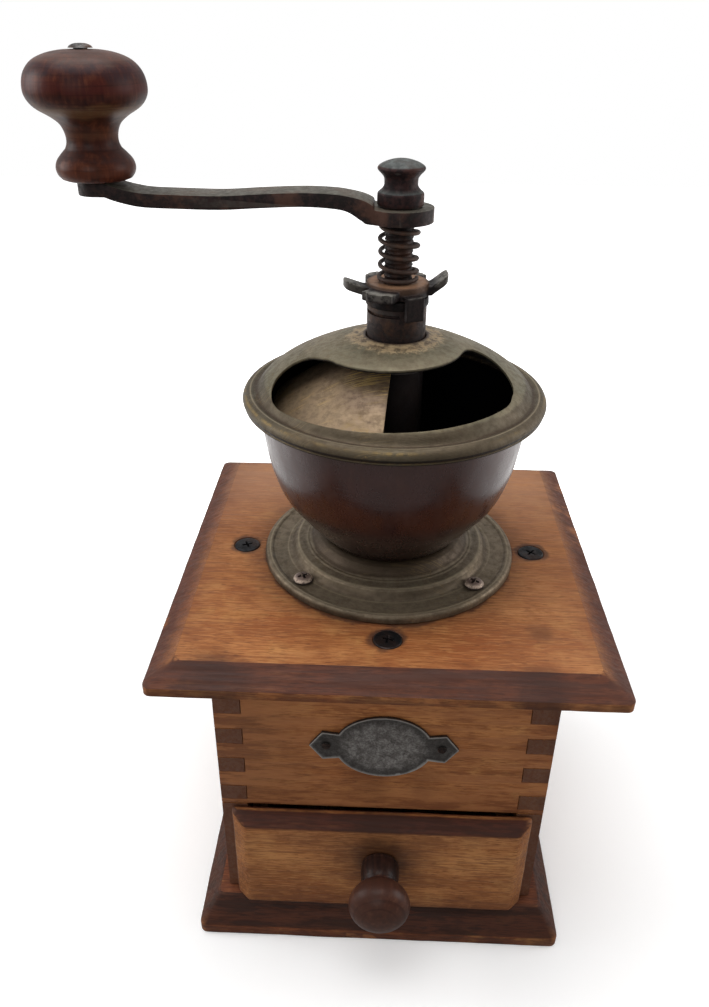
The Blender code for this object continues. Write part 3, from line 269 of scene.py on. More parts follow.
def settle(piece, finish, body, node):
    # gives the piece its finish and its body, and hides the node that it stands for
    piece.data.materials.clear()
    piece.data.materials.append(finish)
    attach(piece, body)
    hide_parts(node)


def copyPiece(piece, name, move):
    twin = piece.copy()
    twin.data = piece.data.copy()
    twin.name = name
    twin.data.name = name
    bpy.context.scene.collection.objects.link(twin)
    twin.data.transform(move)
    return twin


def movePiece(piece, move):
    piece.data.transform(move)
    return piece


# Finishes: a set of nodes with short ways to add to it, and a material made with one

class NodeSet:
    def __init__(self, tree):
        self.tree = tree
        self.where = tree.nodes.new("ShaderNodeTexCoord").outputs

    def add(self, kind, wires, out=0, **settings):
        made = self.tree.nodes.new("ShaderNode" + kind)
        for key, value in settings.items():
            setattr(made, key, value)
        for socket, value in wires.items():
            self.plug(made.inputs[socket], value)
        return made.outputs[out]

    def plug(self, socket, value):
        if isinstance(value, bpy.types.NodeSocket):
            self.tree.links.new(value, socket)
        elif socket.type == "RGBA":
            socket.default_value = (*value[:3], 1)
        else:
            socket.default_value = value

    def noise(self, where, detail=3.0, rough=0.55, warp=0.0, scale=1.0):
        return self.add("TexNoise", {"Vector": where, "Scale": scale, "Detail": detail, "Roughness": rough,
                                     "Distortion": warp})

    def fade(self, value, low, high, start=0.0, end=1.0):
        return self.add("MapRange", {"Value": value, "From Min": low, "From Max": high, "To Min": start,
                                     "To Max": end}, interpolation_type="SMOOTHSTEP", clamp=True)

    def maths(self, operation, first, second=0.0):
        return self.add("Math", {0: first, 1: second}, operation=operation)

    def times(self, first, *others):
        for other in others:
            first = self.maths("MULTIPLY", first, other)
        return first

    def plus(self, first, *others):
        for other in others:
            first = self.maths("ADD", first, other)
        return first

    def mix(self, amount, first, second):
        return self.add("Mix", {0: amount, 6: first, 7: second}, out=2, data_type="RGBA", clamp_factor=True)

    def layers(self, colour, *rows):
        # lays one tone after another over the colour, each where its pattern fades from low to high
        for pattern, low, high, start, end, tone in rows:
            colour = self.mix(self.fade(pattern, low, high, start, end), colour, tone)
        return colour

    def ramp(self, value, stops):
        made = self.tree.nodes.new("ShaderNodeValToRGB")
        self.tree.links.new(value, made.inputs["Fac"])
        band = made.color_ramp
        while len(band.elements) < len(stops):
            band.elements.new(0.5)
        for element, (place, colour) in zip(band.elements, stops):
            element.position = place
            element.color = (*colour, 1)
        return made.outputs["Color"]

    def parts(self, where=None):
        return self.add("SeparateXYZ", {0: where or self.where["Object"]}).node.outputs

    def lean(self):
        # how far the surface faces along each axis
        return self.parts(self.where["Normal"])

    def rays(self):
        return self.add("LightPath", {}).node.outputs

    def rims(self):
        # above 0.5 on edges that stand out
        return self.add("NewGeometry", {}, out="Pointiness")

    def roughen(self, value, pattern, reach):
        # moves a level to and fro with the pattern, so that what ends there ends unevenly
        return self.plus(value, self.fade(pattern, 0.3, 0.7, -reach, reach))

    def between(self, value, low, high, before, after):
        # 1 from low to high, with soft ends that reach out and in by so much
        return self.times(self.fade(value, low - before, low + after), self.fade(value, high + before, high - after))

    def ring(self, far, inner, outer):
        middle = (inner + outer) / 2
        return self.times(self.fade(far, inner, middle), self.fade(far, outer, middle))

    def lathed(self, far, size):
        # fine rings round the upright axis
        lines = self.add("CombineXYZ", {0: self.times(far, size), 1: self.times(self.parts()[2], size)})
        return self.noise(lines, 2)

    def around(self, centre=(0, 0), axis=2):
        # distance in metres from an upright line, or from one along another axis
        spot = self.parts()
        across = [self.maths("SUBTRACT", spot[i], middle)
                  for i, middle in zip([i for i in range(3) if i != axis], centre)]
        return self.maths("SQRT", self.plus(*(self.times(part, part) for part in across)))

    def edgeDistance(self, low, high):
        # distance in metres from the nearest edge of a box: the middle one of its three depths
        spot = self.parts()
        depths = []
        for i in range(3):
            off = self.maths("ABSOLUTE", self.maths("SUBTRACT", spot[i], (low[i] + high[i]) / 2))
            depths.append(self.maths("SUBTRACT", (high[i] - low[i]) / 2, off))
        a, b, c = depths
        less, more = self.maths("MINIMUM", a, b), self.maths("MAXIMUM", a, b)
        return self.maths("MAXIMUM", less, self.maths("MINIMUM", more, c))


class Finish(NodeSet):
    def __init__(self, name, dials=None, shift=(0, 0, 0)):
        self.material = bpy.data.materials.new(name)
        self.material.use_nodes = True
        super().__init__(self.material.node_tree)
        self.shader = self.tree.nodes["Principled BSDF"]
        self.shift = shift
        for dial, value in (dials or {}).items():
            self.shader.inputs[dial].default_value = value

    def grain(self, size, detail=3.0, rough=0.55, warp=0.0, scale=1.0, turn=(0, 0, 0), shift=None):
        # noise in the object's own space, as fine as size says, along each axis or along all three
        size = size if isinstance(size, tuple) else (size, size, size)
        where = self.add("Mapping", {"Vector": self.where["Object"], "Scale": size, "Rotation": turn,
                                     "Location": shift or self.shift})
        return self.noise(where, detail, rough, warp, scale)

    def finish(self, colour, roughness=None, bump=None, strength=0.5, depth=0.0002, metallic=None):
        self.plug(self.shader.inputs["Base Color"], colour)
        if roughness is not None:
            self.plug(self.shader.inputs["Roughness"], roughness)
        if metallic is not None:
            self.plug(self.shader.inputs["Metallic"], metallic)
        if bump is not None:
            relief = self.add("Bump", {"Height": bump, "Strength": strength, "Distance": depth})
            self.tree.links.new(relief, self.shader.inputs["Normal"])
        return self.material


# Oiled beech, gone honey brown, with short dark flecks and dirty edges

beech = {
    "light": (0.475, 0.205, 0.072),
    "middle": (0.365, 0.138, 0.042),
    "dark": (0.240, 0.078, 0.022),
    "red": (0.255, 0.066, 0.018),
    "gold": (0.50, 0.245, 0.080),
    "fleck": (0.095, 0.028, 0.010),
    "stain": (0.072, 0.022, 0.009),
    "slope": (0.135, 0.040, 0.016),
    "slopeAmount": 0.95,
    "softSides": None,
    "rubbed": 0.6,
    "bright": (0.40, 0.16, 0.06),
    "stainAxis": 2,
    "endGrain": (0.110, 0.045, 0.022),
    "edgeWidth": 0.004,
    "edgeAmount": 0.5,
    "grime": 0.55,
    "roughness": (0.50, 0.72),
}


def makeBeech(name, low, high, axis=0, seed=0, look=None, stains=(), tints=()):
    # stains: place, inner and outer radius, amount; tints: axis, start, end, amount, tone; all in metres
    v = {**beech, **(look or {})}
    f = Finish(name, {"Specular IOR Level": 0.25}, (seed * 1.7, seed * 2.3, seed * 0.9))
    figure = f.grain(onAxis(axis, 7, 60), 5, 0.6, 0.4)
    streak = f.grain(onAxis(axis, 34, 900), 3, 0.6)
    cloud = f.grain(onAxis(axis, 22, 34), 5, 0.65)
    dash = f.grain(onAxis(axis, 300, 2600), 1, 0.4)
    grit = f.grain(onAxis(axis, 170, 2100), 3, 0.6)
    patch = f.grain(onAxis(axis, 55, 75), 5, 0.7, 0.3)
    smear = f.grain(onAxis(axis, 40, 260), 5, 0.65)
    ragged = f.grain(75, 4, 0.65)
    speck = f.grain(900, 2, shift=(0, 0, 0))
    flecks = f.fade(dash, 0.60, 0.68, 0, 0.5)
    colour = f.ramp(figure, [(0.32, v["dark"]), (0.48, v["middle"]), (0.68, v["light"])])
    colour = f.layers(colour, (cloud, 0.48, 0.62, 0, 0.62, v["red"]), (cloud, 0.47, 0.36, 0, 0.55, v["light"]),
                      (patch, 0.49, 0.62, 0, 0.70, v["dark"]), (patch, 0.48, 0.36, 0, 0.45, v["gold"]),
                      (streak, 0.34, 0.54, 0.75, 0, v["dark"]), (grit, 0.36, 0.50, 0.7, 0, v["dark"]),
                      (grit, 0.50, 0.64, 0, 0.55, v["light"]))
    colour = f.mix(flecks, colour, v["fleck"])
    for direction, start, end, amount, tone in tints:
        zone = f.times(f.fade(f.parts()[direction], start, end), f.fade(cloud, 0.3, 0.6, 0.6, 1.0), amount)
        colour = f.mix(zone, colour, tone)
    # slopes that look up are darker: partly dirt and wear, partly painted shade where they lie under the parts above,
    # as on the base and the drawer's top bevel
    lean = f.lean()
    slopeDirtAndShade = f.times(f.fade(lean[2], 0.990, 0.955), f.fade(lean[2], 0.12, 0.45),
                      f.fade(smear, 0.54, 0.74, v["slopeAmount"], 0.80))
    if v["softSides"]:
        # on the left and right slopes, which face the side lamps, this darkening fades out towards the flat
        sideways = f.fade(f.maths("ABSOLUTE", lean[0]), 0.2, 0.4)
        clean = f.fade(f.maths("ABSOLUTE", f.parts()[0]), *v["softSides"])
        slopeDirtAndShade = f.times(slopeDirtAndShade, f.maths("SUBTRACT", 1, f.times(sideways, clean)))
    worn = f.mix(f.fade(grit, 0.38, 0.54, 0.6, 0), v["slope"], v["stain"])
    colour = f.mix(slopeDirtAndShade, colour, f.mix(f.fade(smear, 0.51, 0.43, 0, 0.85), worn, v["stain"]))
    # end grain shows where the surface faces along the grain
    along = f.maths("ABSOLUTE", lean[axis])
    offEnd = f.fade(along, 0.95, 0.80)
    endTone = f.mix(f.fade(speck, 0.35, 0.65, 0, 0.6), v["endGrain"], v["fleck"])
    colour = f.mix(f.fade(along, 0.80, 0.95, 0, 0.9), colour, endTone)
    # dirt near the edges, broken up by noise, and a wide darker and redder band inside them
    depth = f.roughen(f.edgeDistance(low, high), ragged, 0.0022)
    colour = f.mix(f.fade(depth, 0, v["edgeWidth"], v["edgeAmount"], 0), colour, v["stain"])
    grime = f.times(f.fade(depth, 0.016, 0.001), f.fade(smear, 0.56, 0.40, 0.3, 1.0), offEnd, v["grime"])
    colour = f.mix(grime, colour, v["slope"])
    # a thin light line where two faces meet
    rubbed = f.times(f.fade(f.rims(), 0.515, 0.55), f.fade(smear, 0.46, 0.56, 0.15, 1.0), offEnd, v["rubbed"])
    colour = f.mix(rubbed, colour, v["bright"])
    for spot, inner, outer, amount in stains:
        ring = f.roughen(f.around(spot, v["stainAxis"]), ragged, 0.0012)
        colour = f.mix(f.fade(ring, inner, outer, amount, 0), colour, v["stain"])
    relief = f.plus(f.times(streak, 0.5), f.times(flecks, -0.5))
    return f.finish(colour, f.fade(streak, 0.3, 0.7, *v["roughness"]), relief, 0.4, 0.00028)


# Turned knobs: dark red-brown polish with upright streaks

polish = {
    "dark": (0.026, 0.0062, 0.0040),
    "middle": (0.066, 0.0160, 0.0085),
    "light": (0.140, 0.043, 0.020),
    "coat": 0.03,
    "roughness": (0.36, 0.52),
}


def makePolish(name, axis=2, seed=0, bands=(), look=None):
    # bands: low, high, amount, tone, along the axis of the turning
    v = {**polish, **(look or {})}
    f = Finish(name, {"Specular IOR Level": 0.12, "Coat Weight": v["coat"], "Coat Roughness": 0.22},
               (seed * 1.3, seed * 0.7, seed * 2.1))
    streak = f.grain(onAxis(axis, 55, 620), 4, 0.6, 0.3)
    cloud = f.grain(85, 4, 0.6)
    # faint rings left by the turning
    turning = f.grain(onAxis(axis, 1500, 25), 3, 0.6)
    colour = f.ramp(streak, [(0.32, v["dark"]), (0.50, v["middle"]), (0.74, v["light"])])
    colour = f.mix(f.fade(cloud, 0.42, 0.62, 0, 0.55), colour, v["dark"])
    level = f.roughen(f.parts()[axis], cloud, 0.0012)
    for low, high, amount, tone in bands:
        inside = f.between(level, low, high, 0.0006, 0.0010)
        colour = f.mix(f.times(inside, f.fade(streak, 0.3, 0.6, amount, amount * 0.6)), colour, tone)
    colour = f.mix(f.fade(turning, 0.52, 0.66, 0, 0.5), colour, v["dark"])
    return f.finish(colour, f.fade(cloud, 0.3, 0.7, *v["roughness"]), f.plus(streak, turning), 0.25, 0.0002)


# Spun brass, dulled to olive grey, with golden wear and scratches

brass = {
    "dull": (0.185, 0.150, 0.095),
    "dark": (0.070, 0.052, 0.031),
    "green": (0.140, 0.128, 0.083),
    "gold": (0.50, 0.34, 0.12),
    "pale": (0.33, 0.27, 0.18),
    "brown": (0.050, 0.032, 0.018),
    "roughness": (0.44, 0.64),
    "metallic": 0.65,
}


def makeBrass(name, look=None, seed=0, paintedShadeRings=(), goldRings=(), paintedHighlightRings=(), wear=0.35, scratches=0.5,
              crust=None, paintedShadeUnder=False):
    # rings: inner and outer radius and amount, the dark ones painted shade and the pale ones painted highlights;
    # crust: the radii where the dirt is whole and where it ends
    v = {**brass, **(look or {})}
    f = Finish(name, {}, (seed * 1.1, seed * 0.8, seed * 1.9))
    cloud = f.grain(32, 5, 0.62)
    fine = f.grain(420, 5, 0.72)
    far, spot = f.around(), f.parts()
    # smudges drawn out round the axis
    angle = f.maths("ARCTAN2", spot[1], spot[0])
    circling = f.add("CombineXYZ", {0: f.times(far, 420), 1: f.times(spot[2], 420), 2: f.times(angle, 5)})
    smudge = f.noise(circling, 4, 0.65)
    colour = f.mix(f.fade(cloud, 0.35, 0.65), v["dull"], v["green"])
    colour = f.layers(colour, (fine, 0.40, 0.66, 0, 0.5, v["dark"]), (smudge, 0.52, 0.70, 0, 0.5, v["dark"]),
                      (smudge, 0.45, 0.30, 0, 0.4, v["dull"]))
    # dark rings: painted shade at those radii
    for inner, outer, amount in paintedShadeRings:
        inside = f.between(f.roughen(far, cloud, 0.0005), inner, outer, 0, 0.0008)
        colour = f.mix(f.times(inside, amount), colour, v["brown"])
    # hair scratches one way and another
    marks = None
    for turn, length, width in ((0.5, 110, 4200), (-0.35, 90, 4600), (1.2, 130, 3800), (0.1, 100, 4400)):
        line = f.fade(f.grain((length, width, 40), 1, 0.4, turn=(0, 0, turn)), 0.650, 0.69)
        marks = line if marks is None else f.maths("MAXIMUM", marks, line)
    patch = f.fade(f.grain(48, 2, shift=(seed + 3, 1, 2)), 0.48, 0.62)
    gold = f.times(marks, patch, scratches)
    for inner, outer, amount in goldRings:
        worn = f.times(f.fade(fine, 0.38, 0.60), f.fade(cloud, 0.40, 0.58))
        gold = f.maths("MAXIMUM", gold, f.times(f.ring(far, inner, outer), worn, amount))
    rubbed = f.times(f.fade(fine, 0.60, 0.74), f.times(patch, wear))
    colour = f.mix(f.maths("MAXIMUM", gold, rubbed), colour, v["gold"])
    # pale rings: painted highlights at those radii
    for inner, outer, amount in paintedHighlightRings:
        inside = f.times(f.ring(far, inner, outer), f.fade(cloud, 0.35, 0.60, amount * 0.6, amount))
        colour = f.mix(inside, colour, v["pale"])
    # faces that look down, the underside of the dome and its rim, are painted near black as shade
    if paintedShadeUnder:
        colour = f.mix(f.fade(f.lean()[2], 0.05, -0.15, 0, 0.92), colour, (0.012, 0.009, 0.008))
    relief = f.plus(f.times(fine, 0.6), f.times(marks, -0.4), f.times(f.lathed(far, 900), 0.6))
    metallic = v["metallic"]
    if crust:
        # dried dirt round the tube, rough and dull
        lumps = f.grain(480, 5, 0.7, shift=(0, 0, 0))
        edge = f.roughen(f.roughen(far, cloud, 0.0012), lumps, -0.0012)
        dirt = f.fade(edge, crust[1], crust[0])
        tone = f.mix(f.fade(lumps, 0.36, 0.60), (0.080, 0.052, 0.030), (0.36, 0.262, 0.145))
        tone = f.mix(f.fade(far, 0.0106, 0.0096), tone, (0.060, 0.036, 0.022))
        colour = f.mix(dirt, colour, tone)
        relief = f.plus(relief, f.times(lumps, dirt, 2.0))
        metallic = f.fade(dirt, 0, 1, v["metallic"], 0.1)
    return f.finish(colour, f.fade(fine, 0.3, 0.7, *v["roughness"]), relief, 0.35, 0.0002, metallic)


# Bare iron and steel: dark brown skin, rust in patches, edges rubbed grey

iron = {
    "skin": (0.040, 0.026, 0.021),
    "dark": (0.014, 0.010, 0.010),
    "rust": (0.145, 0.060, 0.027),
    "worn": (0.185, 0.170, 0.155),
    "rustAmount": 0.55,
    "wornAmount": 0.6,
    "roughness": (0.42, 0.68),
    "metallic": 0.55,
    "shine": 0.25,
    "grain": 240,
    "paintedShadeBelow": None,
}


def makeIron(name, look=None, seed=0, paintedTopSheen=None):
    # a painted sheen colours what faces up, and below the given height in metres the iron is painted near black as
    # shade
    v = {**iron, **(look or {})}
    f = Finish(name, {"Metallic": v["metallic"], "Specular IOR Level": v["shine"]},
               (seed * 1.9, seed * 1.2, seed * 0.6))
    cloud = f.grain(110, 5, 0.65)
    fine = f.grain(v["grain"], 4, 0.7, scale=2.2)
    colour = f.mix(f.fade(fine, 0.36, 0.62), v["skin"], v["dark"])
    colour = f.mix(f.fade(cloud, 0.47, 0.63, 0, v["rustAmount"]), colour, v["rust"])
    # a lighter sheen painted on what faces up
    if paintedTopSheen:
        upper = f.times(f.fade(f.lean()[2], 0.55, 0.9), f.fade(fine, 0.25, 0.6, 1, 0.55))
        colour = f.mix(upper, colour, paintedTopSheen)
    # painted shade: near black below the given height, as inside the hopper under its cover
    if v["paintedShadeBelow"]:
        below = f.fade(f.parts()[2], v["paintedShadeBelow"], v["paintedShadeBelow"] - 0.001, 0, 0.92)
        colour = f.mix(below, colour, (0.016, 0.012, 0.012))
    edges = f.roughen(f.rims(), fine, 0.03)
    colour = f.mix(f.fade(edges, 0.53, 0.62, 0, v["wornAmount"]), colour, v["worn"])
    return f.finish(colour, f.fade(fine, 0.3, 0.7, *v["roughness"]), fine, 0.5, 0.00022)


# Finishes for the CAD nodes that keep their own shape

def boxOf(node):
    low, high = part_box(node)
    return tuple(low), tuple(high)


def dressNode(name, finish):
    node = frame["nodes"][name]
    node.data.materials.clear()
    node.data.materials.append(finish)


castIron = makeIron("castIron", {"rustAmount": 0.35, "wornAmount": 0.5}, seed=1)
innerSteel = makeIron("innerSteel", {"skin": (0.16, 0.15, 0.14), "dark": (0.07, 0.06, 0.055), "rustAmount": 0.3,
                                     "metallic": 0.8}, seed=2)
paleWood = makeBeech("drawerBeech", (-0.0443, -0.054, 0.0143), (0.0443, 0.0421, 0.0503), axis=1, seed=8,
                     look={"light": (0.52, 0.33, 0.17), "middle": (0.44, 0.25, 0.12), "dark": (0.31, 0.16, 0.075),
                           "red": (0.36, 0.19, 0.09), "edgeAmount": 0.4})
for nodeName in frame["nodes"]:
    dressNode(nodeName, castIron)
for nodeName in frame["nodes"]:
    if nodeName.startswith(("ring_screw", "bridge_screw")) or nodeName == "drawer_knob_screw":
        dressNode(nodeName, innerSteel)
    if nodeName in ("drawer_side_left", "drawer_side_right", "drawer_back", "drawer_bottom"):
        dressNode(nodeName, paleWood)


# Boards

topPlate = {"half": 70.0, "bottom": 119.1, "edge": 3.1, "height": 7.2, "chamfer": 8.1, "bore": 21.4}
basePlate = {"half": 64.1, "bottom": 0, "edge": 4.7, "height": 14.0, "chamfer": 6.5}
box = {"half": 53.9, "thick": 8.8, "top": 118.8, "frontBottom": 57.4, "bottom": 14.3, "finger": 6.45,
       "firstTongue": 1.9, "gap": 0.08}
# all the boards' screws stand as far from the middle; the top ones as x, y and the turn of their slots
screwLine = 49.5
screwSpots = ((-screwLine, 0, 0.4), (screwLine, 0, 0.9), (0, -screwLine, 1.3), (0, screwLine, 0.2))
baseScrew = {"reach": 21.56, "level": 0.3}
screwHole = {"head": 4.75, "deep": 2.9, "shank": 2.0, "length": 18.5}
upsideDown = turned(180, "X")


def screwHoles(name, moves):
    # one cutter for each screw
    h = screwHole
    runs = [[(0, 1), (h["head"], 1)], [(h["head"], -0.35)], [(h["shank"], -h["deep"])], [(h["shank"], -h["length"])],
            [(0, -h["length"])]]
    return [movePiece(spinPiece(name, runs, steps=40), move) for move in moves]


def chamferedBoard(name, b, seed):
    half, top = b["half"], b["bottom"] + b["height"]
    piece = addBlock(name, (-half, -half, b["bottom"]), (half, half, top))
    enterEdit(piece)
    # the four corners are worn round
    pick(piece, "EDGE", lambda edge: abs(edge.verts[0].co.z - edge.verts[1].co.z) > 1 * mm)
    bpy.ops.mesh.bevel(offset=2.6 * mm, segments=5, affect="EDGES")
    cutThrough(2, b["bottom"] + b["edge"])
    pick(piece, "VERT", lambda vert: vert.co.z > (top - 0.1) * mm)
    share = (half - b["chamfer"]) / half
    bpy.ops.transform.resize(value=(share, share, 1), center_override=(0, 0, top * mm))
    tidyMesh()
    leaveEdit()
    roundEdges(piece, 0.7, 3, 24)
    for axis in (0, 1):
        gridCuts(piece, axis, -half + 4.5, half - 4, 3.0)
    wearSurface(piece, 9, 0.34, seed)
    return piece


def cutTongues(runs, bottom, top):
    # in edit mode: level cuts where the tongues start and end
    for level in (end for run in runs for end in run):
        if bottom + 0.1 < level < top - 0.1:
            cutThrough(2, level)


def isTongue(face, runs):
    return any(start * mm < face.calc_center_median().z < end * mm for start, end in runs)


def fingerBoard(name, low, high, axis, hands, tongues):
    # a block without its corners, whose tongues are pulled out of its ends
    piece = addBlock(name, low, high)
    enterEdit(piece)
    cutTongues(tongues, low[2], high[2])
    for hand in hands:
        pick(piece, "FACE", lambda face: face.normal[axis] * hand > 0.9 and isTongue(face, tongues))
        pull(onAxis(axis, hand * box["thick"] * mm))
    tidyMesh()
    leaveEdit()
    roundEdges(piece, 0.22, 2, 40)
    return piece


def fingerRuns(bottom, first):
    # heights of the tongues of a board that starts with its own tongue, and of those of the board beside it
    own, other, level, step, mine = [], [], bottom, first, True
    while level < box["top"] - 0.01:
        end = min(level + step, box["top"])
        (own if mine else other).append((level + box["gap"], end - box["gap"]))
        level, step, mine = end, box["finger"], not mine
    return own, other


def corners(half, bottom, top):
    return (-half * mm, -half * mm, bottom * mm), (half * mm, half * mm, top * mm)


def makeTopBoard():
    b = topPlate
    top = b["bottom"] + b["height"]
    piece = chamferedBoard("topBoard", b, 1)
    bore = addRod("plateBoreCutter", b["bore"], 30, (0, 0, top), 64)
    carve(piece, bore, *screwHoles("plateHoleCutter", [at(x, y, top) for x, y, _ in screwSpots]))
    smoothShade(piece)
    look = {"edgeWidth": 0.0035, "edgeAmount": 0.45, "slope": (0.084, 0.0235, 0.0120), "rubbed": 0.4,
            "stain": (0.026, 0.011, 0.0085), "softSides": (0.0598, 0.0675, 0.82, 0.0)}
    # stains round the flange and the screws, and dark smudges along the front
    stains = [((0, 0), 0.0425, 0.0440, 0.7), ((0, 0), 0.0425, 0.0520, 0.35)]
    stains += [((x * mm, y * mm), 0.0046, 0.0064, 0.7) for x, y, _ in screwSpots]
    stains += [((-0.050, -0.0665), 0.003, 0.013, 0.55), ((0.044, -0.0680), 0.003, 0.011, 0.5),
               ((0.047, -0.0440), 0.001, 0.006, 0.35)]
    # the first tint, lighter and greyer towards the back, is a painted sheen; the next makes the right side lighter
    # and the last the left edge darker
    tints = ((1, -0.01, 0.065, 0.70, (0.31, 0.175, 0.108)), (0, 0.02, 0.07, 0.35, (0.29, 0.130, 0.060)),
             (0, -0.050, -0.062, 0.2, (0.15, 0.060, 0.030)))
    settle(piece, makeBeech("topBeech", *corners(b["half"], b["bottom"], top), 0, 1, look, stains, tints), "housing",
           "top_plate")


def makeBaseBoard():
    b = basePlate
    piece = chamferedBoard("baseBoard", b, 2)
    reach, level = baseScrew["reach"], baseScrew["level"]
    carve(piece, *screwHoles("baseHoleCutter", [at(x, y, level) @ upsideDown for x in (-screwLine, screwLine)
                                                for y in (-reach, reach)]))
    smoothShade(piece)
    # much darker than the other boards: partly a darker stain, partly painted shade from the box and drawer that stand
    # over it
    look = {"light": (0.24, 0.076, 0.030), "middle": (0.155, 0.048, 0.020), "dark": (0.080, 0.024, 0.011),
            "red": (0.11, 0.031, 0.013), "slope": (0.064, 0.019, 0.0090), "stain": (0.022, 0.008, 0.005), "grime": 0.1}
    settle(piece, makeBeech("baseBeech", *corners(b["half"], b["bottom"], b["height"]), 0, 2, look), "housing",
           "base_plate")


boxLook = {"stainAxis": 1, "edgeWidth": 0.003, "edgeAmount": 0.4, "light": (0.52, 0.225, 0.076),
           "middle": (0.385, 0.142, 0.043), "dark": (0.220, 0.074, 0.023), "red": (0.28, 0.080, 0.023),
           "endGrain": (0.120, 0.056, 0.036), "gold": (0.56, 0.27, 0.090), "slope": (0.17, 0.050, 0.020), "grime": 0.5}
frontTints = ((0, -0.012, -0.052, 0.85, (0.150, 0.060, 0.026)), (2, 0.069, 0.060, 0.35, (0.15, 0.055, 0.022)),
              (2, 0.112, 0.1185, 0.5, (0.15, 0.050, 0.020)))
frontStains = (((-0.004, 0.0715), 0.002, 0.013, 0.42), ((0.013, 0.070), 0.002, 0.010, 0.3))


def makeBox():
    b = box
    outer, thick, bottom, top = b["half"], b["thick"], b["bottom"], b["top"]
    inner = outer - thick
    frontOwn, frontOther = fingerRuns(b["frontBottom"], b["firstTongue"])
    backOwn, backOther = fingerRuns(bottom, b["finger"])
    front = fingerBoard("frontBoard", (-inner, -outer, b["frontBottom"]), (inner, -inner, top), 0, (-1, 1), frontOwn)
    back = fingerBoard("backBoard", (-inner, inner, bottom), (inner, outer, top), 0, (-1, 1), backOwn)
    # the front ends of the sides have their own heights, so they are cut and pulled after the back ends
    runs = [(bottom, b["frontBottom"] - 0.3)] + frontOther
    sides = []
    for hand, side in ((-1, "Left"), (1, "Right")):
        near, far = sorted((hand * inner, hand * outer))
        piece = fingerBoard("sideBoard" + side, (near, -inner, bottom), (far, inner, top), 1, (1,), backOther)
        enterEdit(piece)
        cutTongues(runs, bottom, top)
        pick(piece, "FACE", lambda face: face.normal.y < -0.9 and face.calc_center_median().y < -(inner - 1) * mm
             and abs(face.calc_center_median().x) > (inner + 1) * mm and isTongue(face, runs))
        pull((0, -thick * mm, 0))
        tidyMesh()
        leaveEdit()
        sides.append(piece)
    plateTop, reach = topPlate["bottom"] + topPlate["height"], baseScrew["reach"]
    boards = ((front, 0, -screwLine, "front_board", 3), (back, 0, screwLine, "back_board", 4),
              (sides[0], -screwLine, 0, "side_board_left", 5), (sides[1], screwLine, 0, "side_board_right", 6))
    for piece, x, y, _, _ in boards:
        moves = [at(x, y, plateTop)]
        if piece in sides:
            moves += [at(x, end, baseScrew["level"]) @ upsideDown for end in (-reach, reach)]
        carve(piece, *screwHoles("boardHoleCutter", moves))
    carve(front, *(addRod("nailHoleCutter", 1.0, 14, (x, -53.5, namePlate["height"]), 24, lying=True)
                   for x in (-namePlate["nails"], namePlate["nails"])))
    for piece, x, _, node, seed in boards:
        smoothShade(piece)
        low, high = corners(outer, bottom, top) if x else boxOf(node)
        marks = {"stains": frontStains, "tints": frontTints} if piece is front else {}
        settle(piece, makeBeech(piece.name + "Beech", low, high, 1 if x else 0, seed, boxLook, **marks), "housing",
               node)


# the name plate's place on the front board and its size, with the tip, shoulder and notch of its outline as
# shares of its half width and half height
namePlate = {"height": 86.8, "back": -54.2, "thick": 1.1, "border": 1.15, "sunk": 0.4, "nails": 18.4,
             "outline": ((1.0, 0.0), (0.825, 0.45), (0.60, 0.40)), "arc": 0.655, "half": 23.75, "up": 12.7}

makeTopBoard()
makeBaseBoard()
makeBox()
print("boards made")


# Drawer front and its ball knob

drawer = {"half": 50.35, "back": -54.2, "front": -61.0, "edge": 2.6, "low": 14.6, "high": 57.1, "side": 4.4,
          "topSlope": 3.2, "knobHeight": 38.3, "bore": 2.25, "boreMiddle": -57}
ballKnob = [[(0, 22.5), (2.4, 22.35), (4.9, 21.75), (7.3, 20.5), (9.1, 18.6), (9.95, 16.3), (9.85, 14.2), (8.9, 12.0),
             (7.3, 10.2), (5.9, 9.2), (5.45, 8.8)], [(5.6, 8.2), (6.0, 7.2), (6.35, 5.4), (6.4, 3.2), (6.2, 1.6)],
            [(6.25, 1.0), (6.0, 0.6), (5.7, 0.3)], [(0, 0.3)]]


